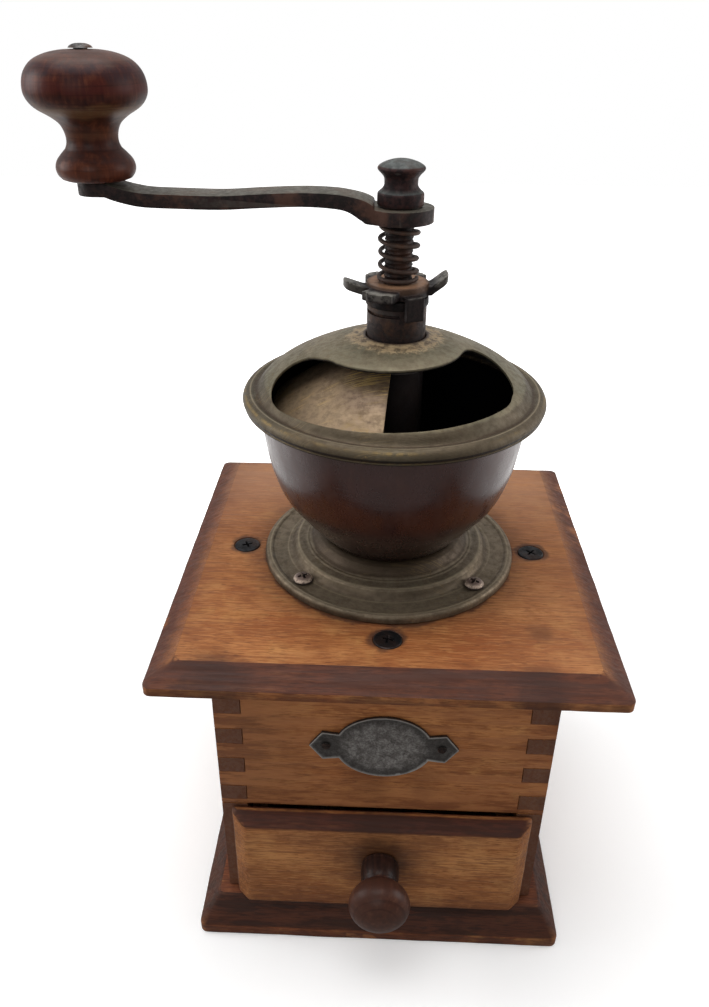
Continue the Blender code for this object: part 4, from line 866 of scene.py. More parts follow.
def makeDrawer():
    d = drawer
    piece = addBlock("drawerFront", (-d["half"], d["front"], d["low"]), (d["half"], d["back"], d["high"]))
    enterEdit(piece)
    cutThrough(1, d["back"] - d["edge"])
    pick(piece, "VERT", lambda vert: vert.co.y < (d["front"] + 0.1) * mm)
    bpy.ops.transform.resize(value=((d["half"] - d["side"]) / d["half"], 1, 1), center_override=(0, 0, 0))
    pick(piece, "VERT", lambda vert: vert.co.y < (d["front"] + 0.1) * mm and vert.co.z > (d["high"] - 1) * mm)
    bpy.ops.transform.translate(value=(0, 0, -d["topSlope"] * mm))
    leaveEdit()
    roundEdges(piece, 1.2, 3, 20)
    gridCuts(piece, 0, -48.5, 49.5, 3)
    gridCuts(piece, 2, 17, 56, 3)
    wearSurface(piece, 8, 0.32, 7)
    carve(piece, addRod("drawerBore", d["bore"], 20, (0, d["boreMiddle"], d["knobHeight"]), lying=True))
    smoothShade(piece)
    look = {"edgeWidth": 0.003, "edgeAmount": 0.35, "slope": (0.078, 0.0215, 0.0120), "slopeAmount": 0.98,
            "light": (0.52, 0.232, 0.082), "middle": (0.40, 0.158, 0.050), "dark": (0.225, 0.080, 0.025),
            "gold": (0.56, 0.275, 0.095), "red": (0.27, 0.085, 0.026), "endGrain": (0.20, 0.115, 0.080),
            "grime": 0.3, "stainAxis": 1, "stain": (0.036, 0.014, 0.009)}
    # dirt from the fingers round the knob
    stains = (((0, 0.0405), 0.0065, 0.0125, 0.6), ((0, 0.0425), 0.009, 0.022, 0.35))
    tints = ((2, 0.022, 0.0155, 0.4, (0.16, 0.050, 0.020)),)
    settle(piece, makeBeech("drawerFrontBeech", *boxOf("drawer_front"), 0, 7, look, stains, tints), "drawer",
           "drawer_front")

    knob = spinPiece("drawerKnob", ballKnob, steps=72)
    carve(knob, addRod("knobBore", 2.2, 18.7, (0, 0, 0)))
    movePiece(knob, at(0, d["front"], d["knobHeight"]) @ turned(90, "X"))
    smoothShade(knob, 50)
    look = {"dark": (0.024, 0.0100, 0.0080), "middle": (0.058, 0.020, 0.0125), "light": (0.105, 0.044, 0.027),
            "coat": 0.08}
    bands = ((-0.0702, -0.0600, 0.95, (0.014, 0.0085, 0.0075)), (-0.0850, -0.0715, 0.45, (0.082, 0.036, 0.024)))
    settle(knob, makePolish("drawerKnobPolish", 1, 4, bands, look), "drawer", "drawer_knob")


makeDrawer()
print("drawer made")


# Hopper: flange ring, bowl, cover with its opening, shutter

flangeRing = [[(18.8, 134.6), (18.8, 135.5)], [(21.6, 135.5), (22.9, 135.35), (24.2, 134.7)], [(25.2, 133.7),
               (26.1, 132.7), (27.4, 131.95)], [(28.1, 131.95), (28.7, 131.75), (30.2, 131.6), (31.4, 131.45),
               (32.2, 130.9)], [(32.5, 130.2), (33.0, 129.35), (33.7, 128.8), (35.0, 128.6)], [(37.9, 128.55),
               (39.7, 128.6)], [(40.2, 128.9), (41.0, 129.0), (41.9, 128.85), (42.4, 128.2), (42.6, 127.4)],
              [(42.6, 126.6)], [(41.8, 126.6)], [(41.6, 127.9), (39.7, 127.8), (34.2, 127.8)], [(31.0, 130.7),
               (27.0, 131.1)], [(25.0, 132.6), (22.6, 134.6)], [(18.8, 134.6)]]
bowl = [[(42.35, 184.3), (42.38, 183.0), (42.2, 180.9), (41.1, 172.7), (39.4, 163.0), (36.1, 153.4), (31.7, 146.9),
         (27.7, 142.0), (24.8, 138.6), (23.4, 137.2)], [(22.9, 136.6), (22.3, 136.0), (21.4, 135.8)], [(16.6, 135.8)],
        [(16.6, 136.6)], [(20.9, 136.6), (22.5, 137.3), (23.8, 138.9)], [(26.9, 142.5), (30.9, 147.4), (35.2, 153.8),
         (38.5, 163.2), (40.2, 172.8), (41.4, 181.0), (41.6, 184.3)], [(42.35, 184.3)]]
dome = [[(9.2, 202.9), (9.2, 203.9)], [(9.6, 204.1), (10.3, 203.9), (11.2, 203.5)], [(15.0, 202.85), (22.0, 200.45),
         (30.0, 196.85), (35.0, 194.15), (38.4, 191.8), (40.6, 189.95)], [(41.7, 188.75), (42.4, 187.7), (43.0, 187.1),
         (43.6, 186.95)], [(44.4, 187.25), (45.5, 187.15), (46.5, 186.45), (47.15, 185.4), (47.2, 184.5),
         (46.85, 183.9)], [(46.55, 183.75)], [(46.8, 183.45), (46.7, 183.05), (46.2, 182.85), (45.2, 182.8),
         (43.2, 182.85)], [(42.75, 183.1), (42.75, 185.3)], [(42.5, 186.4), (41.6, 187.7), (40.0, 189.4)],
        [(37.9, 191.1), (34.6, 193.4), (29.7, 196.1), (21.7, 199.7), (14.8, 202.1), (9.2, 202.9)]]
# the opening's two arcs, and its ends as turns with their shares of the way out
opening = {"outer": 40.6, "inner": 21.9, "shift": 1.2, "start": -143, "end": -35, "innerStart": -142, "innerEnd": -16,
           "right": ((-31, 0.985), (-27.5, 0.955), (-21, 0.905), (-15.5, 0.81), (-9.5, 0.67), (-4.2, 0.52),
                     (-0.8, 0.36), (-0.6, 0.22), (-1.6, 0.13)),
           "left": ((-147, 0.01), (-153, 0.06), (-163, 0.17), (-167.8, 0.36), (-167, 0.58), (-162.5, 0.77),
                    (-156.5, 0.89), (-149.5, 0.97))}
shutterLeaf = [[(10.5, 199.6), (11.1, 198.6), (11.9, 197.65)], [(13.2, 197.0), (16.0, 195.65), (21.3, 193.05),
                (26.6, 189.75), (32.3, 186.05), (37.9, 182.2)], [(37.55, 181.5)], [(32.0, 185.3), (26.3, 189.0),
                (21.0, 192.3), (15.8, 194.9), (13.0, 196.3), (10.5, 197.0)]]
shutterHub = [[(9.5, 201.2), (10.3, 200.0), (10.9, 199.0)], [(10.9, 196.55)], [(9.5, 196.55)], [(9.5, 201.2)]]
# the flange's screws: their circle, the level that their heads stand on, and each one's place and turn on it
flangeScrews = {"radius": 36.6, "level": 128.95, "turns": ((-139, 0.5), (-41, 0.95), (41, 0.2), (139, 1.2))}
rivets = {"radius": 20.2, "level": 135.7, "thick": 1.0}


def onCircle(radius, degrees):
    return (radius * math.cos(math.radians(degrees)), radius * math.sin(math.radians(degrees)))


def arcPoints(radius, start, end, steps):
    return [onCircle(radius, start + (end - start) * i / steps) for i in range(steps + 1)]


def softCorner(before, corner, after, steps=6):
    return [tuple((1 - t) ** 2 * p + 2 * t * (1 - t) * q + t * t * r for p, q, r in zip(before, corner, after))
            for t in (i / steps for i in range(steps + 1))]


def rivetHoles(name):
    return [addRod(name, rivets["thick"], 6, (*onCircle(rivets["radius"], 45 + 90 * i), rivets["level"]), 20)
            for i in range(4)]


def makeFlange():
    ring = spinPiece("flangeRing", flangeRing, steps=112)
    screws = [addRod("flangeHole", 1.6, 6, (*onCircle(flangeScrews["radius"], angle), 128), 24)
              for angle, _ in flangeScrews["turns"]]
    carve(ring, *screws, *rivetHoles("rivetHole"))
    smoothShade(ring, 50)
    look = {"dull": (0.20, 0.152, 0.100), "green": (0.150, 0.118, 0.078), "dark": (0.060, 0.042, 0.027)}
    # the dark rings are painted shade round the bowl's foot, in a step and round the outer edge; the pale rings are
    # painted highlights on the ridges
    dark = ((0.0, 0.0272, 0.92), (0.0322, 0.0342, 0.6), (0.0422, 0.050, 0.9))
    pale = ((0.0405, 0.0414, 0.6), (0.0306, 0.0318, 0.6), (0.0343, 0.0352, 0.4), (0.0276, 0.0284, 0.4))
    settle(ring, makeBrass("flangeBrass", look, 2, paintedShadeRings=dark, paintedHighlightRings=pale, wear=0.30, scratches=0.1),
           "housing", "flange_ring")


def makeBowl():
    cup = spinPiece("hopperBowl", bowl, steps=128)
    carve(cup, *rivetHoles("bowlRivetHole"))
    smoothShade(cup, 50)
    settle(cup, makeBowlSkin(), "housing", "hopper_bowl")


def makeBowlSkin():
    f = Finish("bowlSkin", {"Metallic": 0.3, "Coat Roughness": 0.18})
    cloud = f.grain(24, 4)
    fine = f.grain((190, 190, 90), 4, 0.7)
    spot, lean, far = f.parts(), f.lean(), f.around()
    colour = f.mix(f.fade(cloud, 0.35, 0.65), (0.052, 0.0195, 0.0170), (0.030, 0.0120, 0.0110))
    # a lighter mottle, and darker towards the foot as painted shade under the bowl's curve
    colour = f.layers(colour, (fine, 0.50, 0.72, 0, 0.35, (0.075, 0.034, 0.026)),
                      (spot[2], 0.150, 0.137, 0, 0.75, (0.014, 0.007, 0.006)))
    # the side that faces the shaft is painted near black as shade, with its shine taken away
    inside = f.fade(f.plus(f.times(spot[0], lean[0]), f.times(spot[1], lean[1])), -0.001, -0.006)
    colour = f.mix(inside, colour, (0.0022, 0.0022, 0.0032))
    rough = f.maths("MAXIMUM", f.fade(fine, 0.3, 0.75, 0.22, 0.42), inside)
    f.plug(f.shader.inputs["Coat Weight"], f.fade(inside, 0, 1, 0.25, 0))
    f.plug(f.shader.inputs["Specular IOR Level"], f.fade(inside, 0, 1, 0.45, 0.05))
    return f.finish(colour, rough, f.plus(f.lathed(far, 700), fine), 0.22, 0.0002)


def makeCover():
    cover = spinPiece("hopperCover", dome, steps=144)
    o = opening
    right, left = ([onCircle(o["inner"] + (o["outer"] - o["inner"]) * share, turn) for turn, share in o[side]]
                   for side in ("right", "left"))
    outline = arcPoints(o["outer"], o["start"], o["end"], 44)
    outline += smoothRun([outline[-1]] + right, 4)[1:]
    corner = [right[-1], onCircle(o["inner"] + 0.9, -6), *arcPoints(o["inner"], o["innerEnd"], -22, 1)]
    outline += smoothRun(corner, 4)[1:]
    outline += arcPoints(o["inner"], -22, o["innerStart"], 36)[1:]
    outline += smoothRun([outline[-1]] + left + [outline[0]], 4)[1:-1]
    carve(cover, drawPlate("openingCutter", [(x - o["shift"], y) for x, y in outline], 150, 215))
    roundEdges(cover, 0.14, 2, 60)
    smoothShade(cover)
    # the dark rings are painted shade round the tube, in the groove before the bead and over the rim; the pale rings
    # are painted highlights on the bead and painted light on the dome
    settle(cover, makeBrass("coverBrass", seed=1,
                            paintedShadeRings=((0.0, 0.0098, 0.85), (0.0424, 0.0442, 0.95), (0.0402, 0.0500, 0.66)),
                            paintedHighlightRings=((0.0444, 0.0452, 0.6), (0.0300, 0.0400, 0.12), (0.0140, 0.0300, 0.25)),
                            goldRings=((0.0458, 0.0470, 0.35),), wear=0.4, scratches=0.12,
                            crust=(0.0128, 0.0152), paintedShadeUnder=True), "housing", "hopper_cover")


def makeShutter():
    leaf = spinPiece("shutterLeaf", [*shutterLeaf, shutterLeaf[0][:1]], steps=72, angle=172)
    enterEdit(leaf)
    pick(leaf, "EDGE", lambda edge: len(edge.link_faces) == 1)
    bpy.ops.mesh.edge_face_add()
    tidyMesh()
    leaveEdit()
    hub = spinPiece("shutterHub", shutterHub, steps=72)
    movePiece(leaf, turned(-95.5))
    carve(leaf, hub, mode="UNION")
    roundEdges(leaf, 0.15, 2, 60)
    smoothShade(leaf)
    look = {"dull": (0.270, 0.190, 0.112), "green": (0.150, 0.098, 0.066), "dark": (0.095, 0.060, 0.038),
            "metallic": 0.5}
    settle(leaf, makeBrass("shutterBrass", look, 3, goldRings=((0.026, 0.0385, 0.8),), wear=0.8, scratches=1.0),
           "shutter_body", "shutter")


makeFlange()
makeBowl()
makeCover()
makeShutter()
print("hopper made")


# Screws, nails and the bare name plate

screwCaps = {
    "plate": {"outline": [[(0, -0.05), (1.6, -0.02), (3.2, -0.05), (4.0, -0.12)], [(4.3, -0.3), (4.35, -0.55)],
                          [(1.7, -2.6)], [(1.7, -17.3)], [(0.7, -18)], [(0, -18)]],
              "cross": 5.2, "slot": 0.95, "deep": 1.25},
    "flange": {"outline": [[(0, 1.75), (1.1, 1.7), (2.2, 1.42), (2.95, 0.85), (3.2, 0.2), (3.1, 0)], [(1.25, 0)],
                           [(1.25, -6.9)], [(0.5, -7.4)], [(0, -7.4)]],
               "cross": 5.0, "slot": 1.2, "deep": 1.45},
    "nail": {"outline": [[(0, 0.62), (0.7, 0.56), (1.2, 0.36), (1.42, 0.05), (1.3, 0)], [(0.66, 0)],
                         [(0.66, -5.6)], [(0, -5.95)]]},
}


def makeScrew(name, values):
    piece = spinPiece(name, values["outline"], steps=48)
    if "cross" in values:
        top = max(z for run in values["outline"] for _, z in run)
        for turn in (0, 90):
            wedge = addShape(name + "Slot", "cube", size=1, location=(0, 0, top * mm),
                             scale=(values["cross"] * mm, values["slot"] * mm, 2 * values["deep"] * mm))
            enterEdit(wedge)
            pick(wedge, "VERT", lambda vert: vert.co.z < (top - 0.5) * mm)
            bpy.ops.transform.resize(value=(0.45, 0.55, 1), center_override=(0, 0, top * mm))
            leaveEdit()
            movePiece(wedge, turned(turn))
            carve(piece, wedge)
    smoothShade(piece)
    return piece


def setCopies(pattern, finish, rows):
    # one copy of the pattern for each row of name, place and node, in place of the pattern itself
    for name, move, node in rows:
        settle(copyPiece(pattern, name, move), finish, "housing", node)
    bpy.data.objects.remove(pattern, do_unlink=True)


def makeScrews():
    look = {"skin": (0.022, 0.022, 0.024), "dark": (0.008, 0.008, 0.009), "worn": (0.20, 0.19, 0.18),
            "rustAmount": 0.12, "wornAmount": 0.35, "metallic": 0.75, "roughness": (0.34, 0.6)}
    top, reach, level = topPlate["bottom"] + topPlate["height"], baseScrew["reach"], baseScrew["level"]
    rows = [("plateScrew_" + side, at(x, y, top) @ Matrix.Rotation(turn, 4, "Z"), "plate_screw_" + side)
            for side, (x, y, turn) in zip(("left", "right", "front", "back"), screwSpots)]
    rows += [(f"baseScrew_{side}_{end}", at(x, y, level) @ upsideDown, f"base_screw_{side}_{end}")
             for x, side in ((-screwLine, "left"), (screwLine, "right"))
             for y, end in ((-reach, "front"), (reach, "back"))]
    setCopies(makeScrew("screwPattern", screwCaps["plate"]), makeIron("blackScrewSteel", look, 3), rows)
    rows = []
    for index, (angle, turn) in enumerate(flangeScrews["turns"], 1):
        place = at(*onCircle(flangeScrews["radius"], angle), flangeScrews["level"])
        rows.append((f"flangeScrew_{index}", place @ Matrix.Rotation(turn, 4, "Z"), f"flange_screw_{index}"))
    setCopies(makeScrew("roundPattern", screwCaps["flange"]), makeDomeSteel(), rows)


def makeDomeSteel():
    # round heads: dark in the cross as painted shade in its slots, brown on top, rubbed pale round the rim
    f = Finish("flangeScrewSteel", {"Metallic": 0.3})
    fine = f.grain(1100, 4, 0.7)
    rim = (0.50, 0.385, 0.30)
    colour = f.ramp(f.roughen(f.lean()[2], fine, 0.07), [(0.28, (0.016, 0.010, 0.009)), (0.42, rim), (0.80, rim),
                                                         (0.94, (0.165, 0.110, 0.088))])
    colour = f.mix(f.fade(fine, 0.55, 0.42, 0, 0.7), colour, (0.080, 0.050, 0.040))
    return f.finish(colour, None, fine, 0.4, 0.0002)


def makeNamePlate():
    p = namePlate
    tip, shoulder, notch = ((p["half"] * x, p["up"] * z) for x, z in p["outline"])
    middle, start = p["half"] * p["arc"], math.asin(notch[1] / p["up"])
    crown = [(middle * math.cos(a), p["up"] * math.sin(a))
             for a in (start + (math.pi - 2 * start) * i / 30 for i in range(31))]
    upper = [tip, shoulder] + crown + [(-shoulder[0], shoulder[1]), (-tip[0], 0)]
    piece = drawPlate("namePlate", upper + [(x, -z) for x, z in reversed(upper[1:-1])], 0, p["thick"])
    enterEdit(piece)
    pick(piece, "FACE", lambda face: face.normal.z > 0.9)
    for inset, sunk in ((p["border"], p["sunk"]), (0.25, 0.08)):
        bpy.ops.mesh.inset(thickness=inset * mm, use_even_offset=True)
        bpy.ops.transform.translate(value=(0, 0, -sunk * mm))
    tidyMesh()
    leaveEdit()
    nails = ((-p["nails"], "left"), (p["nails"], "right"))
    for x, _ in nails:
        carve(piece, addRod("plateNailHole", 0.95, 10, (x, 0, 0), 24))
    roundEdges(piece, 0.16, 3, 40)
    facing = at(0, p["back"], p["height"]) @ turned(90, "X")
    movePiece(piece, facing)
    smoothShade(piece)
    settle(piece, makePewter(), "housing", "badge_plate")
    setCopies(makeScrew("nailPattern", screwCaps["nail"]), makeIron("nailIron", {"wornAmount": 0.8}, 5),
              [("plateNail_" + side, facing @ at(x, 0, 1), "badge_nail_" + side) for x, side in nails])


def makePewter():
    # dull grey metal, pitted and dark in its hollow, rubbed bright along the border
    f = Finish("pewterSkin", {"Metallic": 0.5, "Specular IOR Level": 0.3})
    cloud = f.grain(330, 5, 0.7)
    fine = f.grain(1500, 4, 0.7)
    spot = f.parts()
    raised = f.fade(spot[1], -0.05492, -0.05520)
    colour = f.mix(f.fade(cloud, 0.38, 0.62), (0.27, 0.258, 0.246), (0.125, 0.115, 0.108))
    colour = f.mix(f.fade(fine, 0.42, 0.60, 0, 0.5), colour, (0.050, 0.045, 0.041))
    # darker toward its rim
    side = f.maths("DIVIDE", spot[0], 0.0165)
    high = f.maths("DIVIDE", f.maths("SUBTRACT", spot[2], namePlate["height"] * mm), 0.0125)
    reach = f.maths("SQRT", f.plus(f.times(side, side), f.times(high, high)))
    colour = f.mix(f.fade(reach, 0.62, 0.95, 0, 0.8), colour, (0.034, 0.030, 0.028))
    border = f.mix(f.fade(cloud, 0.42, 0.58), (0.13, 0.125, 0.12), (0.060, 0.055, 0.052))
    colour = f.mix(raised, colour, border)
    colour = f.mix(f.times(raised, f.fade(f.rims(), 0.505, 0.53, 0, 0.75)), colour, (0.40, 0.39, 0.37))
    return f.finish(colour, f.fade(fine, 0.3, 0.7, 0.40, 0.62), f.plus(fine, cloud), 0.45, 0.0002)


makeScrews()
makeNamePlate()
print("fasteners and name plate made")


# Bearing tube, collar, threaded shaft, adjusting nut and spring

tube = {"radius": 8.9, "bore": 4.55, "top": 214.25, "bottom": 132.65, "spigot": 5.7, "spigotEnd": 129.05}
slit = {"low": 211.25, "high": 212.25, "outer": (11.0, (-172, -150, -128, -106, -85)),
        "inner": (7.9, (-85, -99, -113, -127, -141, -156, -172))}
collar = [[(4.55, 216.05), (8.7, 216.05), (9.25, 215.8), (9.38, 215.2)], [(9.38, 213.9), (9.15, 213.55)],
          [(9.15, 214.35)], [(4.55, 214.35)], [(4.55, 216.05)]]
shaft = {"root": 3.93, "crest": 4.18, "pitch": 1.3, "threadFrom": 214.0, "threadTo": 236.8, "shoulder": 117.35,
         "tail": 3.35, "tailEnd": 92.9, "stud": 2.55, "studEnd": 246.6, "square": 2.87, "squareTo": 240.8}
spring = {"wire": 0.65, "radius": 5.45, "low": 220.35, "high": 236.85, "turns": 5, "steps": 28}


def makeTube():
    radius, bore, top, bottom, spigot, end = tube.values()
    runs = [[(bore, top), (radius - 0.3, top)], [(radius, top - 0.3)],
            [(radius, 205.5), (radius - 0.06, 199), (radius, bottom)], [(spigot, bottom)], [(spigot, end)],
            [(bore, end)], [(bore, top)]]
    piece = spinPiece("bearingTube", runs, steps=72, curve=3)
    outline = [onCircle(slit[side][0], turn) for side in ("outer", "inner") for turn in slit[side][1]]
    carve(piece, drawPlate("slitCutter", outline, slit["low"], slit["high"]))
    smoothShade(piece)
    # below the cover's level the tube is painted near black as shade inside the hopper
    look = {"skin": (0.030, 0.0165, 0.014), "dark": (0.012, 0.0075, 0.0075), "rust": (0.105, 0.050, 0.026),
            "rustAmount": 0.5, "metallic": 0.15, "wornAmount": 0.2, "paintedShadeBelow": 0.2015}
    settle(piece, makeIron("tubeIron", look, 6), "housing", "bearing_tube")
    ring = spinPiece("tubeCollar", collar, steps=72)
    smoothShade(ring)
    look = {"skin": (0.012, 0.008, 0.008), "dark": (0.006, 0.005, 0.005), "shine": 0.15, "rustAmount": 0.15,
            "metallic": 0.2, "wornAmount": 0.35}
    settle(ring, makeIron("collarIron", look, 7), "housing", "tube_collar")


def makeShaft():
    s = shaft
    root, crest, pitch, low, high = (s[key] for key in ("root", "crest", "pitch", "threadFrom", "threadTo"))
    zig = [(root, 0), (root + 0.02, 0.25), (crest, 0.58), (crest, 0.72), (root + 0.02, 1.05), (root, pitch)]
    first = low - 2 * pitch
    thread = drawLine("shaftRod", [(r, 0, first + z) for r, z in zig])
    leaveEdit()
    useModifier(thread, "SCREW", angle=2 * math.pi, screw_offset=pitch * mm,
                iterations=math.ceil((high - low) / pitch) + 4, steps=40, render_steps=40, use_merge_vertices=False)
    enterEdit(thread)
    tidyMesh()
    for level, below in ((low, True), (high, False)):
        cutThrough(2, level, clear_inner=below, clear_outer=not below, use_fill=True, threshold=0.0001 * mm)
    tidyMesh()
    leaveEdit()
    neck, end, tail = root - 0.5, s["tailEnd"], s["tail"]
    rod = spinPiece("shaftLower", [[(0, low + 1), (neck, low + 1)], [(neck, low - 0.4), (crest, low - 1)],
                                   [(crest, s["shoulder"])], [(tail, s["shoulder"])], [(tail, end)], [(0, end)]],
                    steps=48)
    stud = spinPiece("shaftStud", [[(0, s["studEnd"]), (s["stud"], s["studEnd"] - 0.4)], [(s["stud"], high - 2)],
                                   [(0, high - 2)]], steps=48)
    half = s["square"]
    square = addBlock("shaftSquare", (-half, -half, high - 1), (half, half, s["squareTo"]))
    for part in (rod, stud, square):
        carve(thread, part, mode="UNION")
    smoothShade(thread)
    look = {"skin": (0.021, 0.0112, 0.0095), "dark": (0.009, 0.0055, 0.005), "rust": (0.062, 0.026, 0.015),
            "rustAmount": 0.6, "metallic": 0.15, "wornAmount": 0.12, "shine": 0.2}
    settle(thread, makeIron("shaftIron", look, 8), "crank", "shaft")


def makeSpring():
    s = spring
    count = s["turns"] * s["steps"]
    first, last = s["low"] + s["wire"] * 1.1, s["high"] - s["wire"] * 1.1
    path = []
    for i in range(count + 1):
        turn = 2 * math.pi * i / s["steps"]
        share = min(max((i / count - 0.09) / 0.82, 0), 1)
        wide = s["radius"] + 0.12 * math.sin(turn * 0.37)
        # it rises clockwise as seen from above, nearly flat at both ends
        path.append((wide * math.cos(turn), -wide * math.sin(turn),
                     first + (last - first) * (0.06 * i / count + 0.94 * share)))
    wire = drawLine("springWire", path)
    chooseOnly(wire)
    bpy.ops.object.convert(target="CURVE")
    wire = bpy.context.active_object
    wire.data.bevel_depth = s["wire"] * mm
    wire.data.bevel_resolution = 3
    wire.data.use_fill_caps = True
    bpy.ops.object.convert(target="MESH")
    wire = bpy.context.active_object
    enterEdit(wire)
    tidyMesh()
    leaveEdit()
    smoothShade(wire, 50)
    look = {"skin": (0.060, 0.032, 0.024), "dark": (0.021, 0.012, 0.010), "rust": (0.12, 0.058, 0.034),
            "worn": (0.16, 0.125, 0.10), "metallic": 0.25, "rustAmount": 0.6, "wornAmount": 0.4}
    settle(wire, makeIron("springSteel", look, 9), "crank", "spring")


star = {"radius": 9.2, "bottom": 216.4, "top": 220.0, "bore": 4.5, "bend": 9.8, "thick": 2.6, "width": 5.7,
        "tabTurn": -63, "tabIn": 10.0, "tabOut": 11.7, "tabDown": 5.4, "grain": 0.2,
        # each wing's direction, width, reach and rise
        "wings": ((-117, 9.4, 14.6, 0.45), (3, 7.5, 14.6, 3.7), (63, 6.7, 13.9, 0.3), (123, 6.7, 13.9, 0.3),
                  (-165, 6.3, 16.1, 2.3))}


def makeStarNut():
    s = star
    nut = addRod("starNut", s["radius"], s["top"] - s["bottom"], (0, 0, (s["top"] + s["bottom"]) / 2), 64)
    low, half = s["bottom"] + 0.3, s["width"] / 2
    for name, start, bottom in (("nutShelf", 4, low), ("nutTab", s["tabIn"], s["bottom"] - s["tabDown"])):
        part = addBlock(name, (start, -half, bottom), (s["tabOut"], half, low + 1.3))
        carve(nut, movePiece(part, turned(s["tabTurn"])), mode="UNION")
    for degrees, width, reach, rise in s["wings"]:
        wing = addBlock("nutWing", (4, -width / 2, low), (s["bend"], width / 2, low + s["thick"]))
        enterEdit(wing)
        out = reach - s["bend"]
        for share, narrow in ((0.40, 1.0), (0.36, 1.0), (0.15, 0.86), (0.09, 0.6)):
            pick(wing, "FACE", lambda face: face.normal.x > 0.6)
            pull((out * share * mm, 0, rise * share * mm))
            bpy.ops.transform.resize(value=(1, narrow, 1), center_override=(0, 0, 0))
        leaveEdit()
        carve(nut, movePiece(wing, turned(degrees)), mode="UNION")
    carve(nut, addRod("nutBore", s["bore"], 20, (0, 0, s["top"]), 48))
    useModifier(nut, "REMESH", mode="VOXEL", voxel_size=s["grain"] * mm)
    useModifier(nut, "SMOOTH", factor=0.5, iterations=9)
    smoothShade(nut, 60)
    settle(nut, makeNutIron(), "nut", "adjusting_nut")


def makeNutIron():
    # brown in the middle, bare on the tips of its wings
    v = {**iron, "skin": (0.020, 0.0115, 0.0105), "dark": (0.009, 0.006, 0.006), "rust": (0.34, 0.185, 0.105),
         "metallic": 0.2, "wornAmount": 0.9, "worn": (0.215, 0.20, 0.175)}
    f = Finish("nutIron", {"Metallic": v["metallic"], "Specular IOR Level": v["shine"]})
    cloud = f.grain(150, 5, 0.65)
    fine = f.grain(420, 4, 0.7)
    far, height = f.around(), f.parts()[2]
    colour = f.mix(f.fade(fine, 0.36, 0.62), v["skin"], v["dark"])
    inner = f.times(f.fade(far, 0.0098, 0.0078), f.fade(height, 0.2175, 0.2192))
    colour = f.mix(f.times(inner, f.fade(cloud, 0.30, 0.50, 0.35, 0.95)), colour, v["rust"])
    tips = f.times(f.fade(far, 0.0104, 0.0128), f.fade(fine, 0.66, 0.44), f.fade(height, 0.2172, 0.2182),
                   f.fade(f.lean()[2], -0.1, 0.5, 0.3, 1), v["wornAmount"])
    colour = f.mix(tips, colour, v["worn"])
    return f.finish(colour, f.fade(fine, 0.3, 0.7, *v["roughness"]), fine, 0.5, 0.0002)


makeTube()
makeShaft()
makeSpring()
makeStarNut()
print("bearing, shaft, spring and nut made")


# Crank arm, cap nut, wooden knob and its pin

# top and under: shares of the arm's length with their shares of its rise
arm = {"length": 85.0, "width": 11.8, "thick": 3.7, "rise": 5.7, "hub": 9.6, "hubThick": 3.9, "pad": 5.8,
       "fillet": 7.5, "hubBottom": 237.2, "hubTop": 241.1, "padTop": 246.8, "square": 3.1, "bore": 2.15,
       "top": ((0.0, 0.0), (0.078, 0.0), (0.09, 0.20), (0.12, 0.42), (0.173, 0.60), (0.228, 0.69), (0.325, 0.72),
               (0.46, 0.63), (0.59, 0.51), (0.74, 0.53), (0.835, 0.565), (0.886, 0.67), (0.935, 0.84), (0.965, 1.0)),
       "under": ((0.0, 0.0), (0.10, 0.0), (0.125, 0.14), (0.173, 0.54), (0.228, 0.68), (0.325, 0.73), (0.46, 0.64),
                 (0.59, 0.53), (0.74, 0.545), (0.835, 0.58), (0.886, 0.68), (0.935, 0.85), (0.965, 1.0))}
# the levels on which the cap nut, the knob and the head of its pin stand
seats = {"capNut": 241.4, "knob": 247.1, "pin": 279.4}
capNut = [[(0, 12.4), (2.4, 12.1), (4.7, 11.4), (6.1, 10.65), (6.55, 10.2), (6.7, 9.85)], [(6.62, 9.55), (6.25, 9.05),
           (5.4, 8.2), (4.85, 7.4), (4.72, 6.6), (4.72, 5.7), (5.0, 4.9), (5.7, 4.1), (6.35, 3.6), (6.58, 3.2)],
          [(6.62, 2.2), (6.6, 0.5)], [(6.35, 0.05)], [(2.9, 0.05)], [(2.9, 5.9)], [(0, 5.9)]]
handKnob = [[(2.2, 31.3), (2.2, 31.95)], [(4.9, 31.95), (9.1, 31.2), (12.8, 29.6), (15.2, 27.0), (16.15, 23.9),
             (15.9, 21.0), (14.0, 18.4), (10.3, 16.1), (8.1, 14.2), (7.1, 11.8), (7.0, 9.6), (7.6, 8.0)], [(8.9, 6.7),
             (10.3, 5.0), (10.82, 3.2), (10.5, 1.6), (9.6, 0.4)], [(8.7, 0.05)], [(2.2, 0.05)], [(2.2, 31.3)]]
knobPin = [[(0, 1.15), (1.5, 1.05), (2.7, 0.6), (3.2, 0.05)], [(1.85, 0.05)], [(1.85, -36.2)], [(3.1, -36.2)],
           [(2.4, -36.9), (0, -37.15)]]


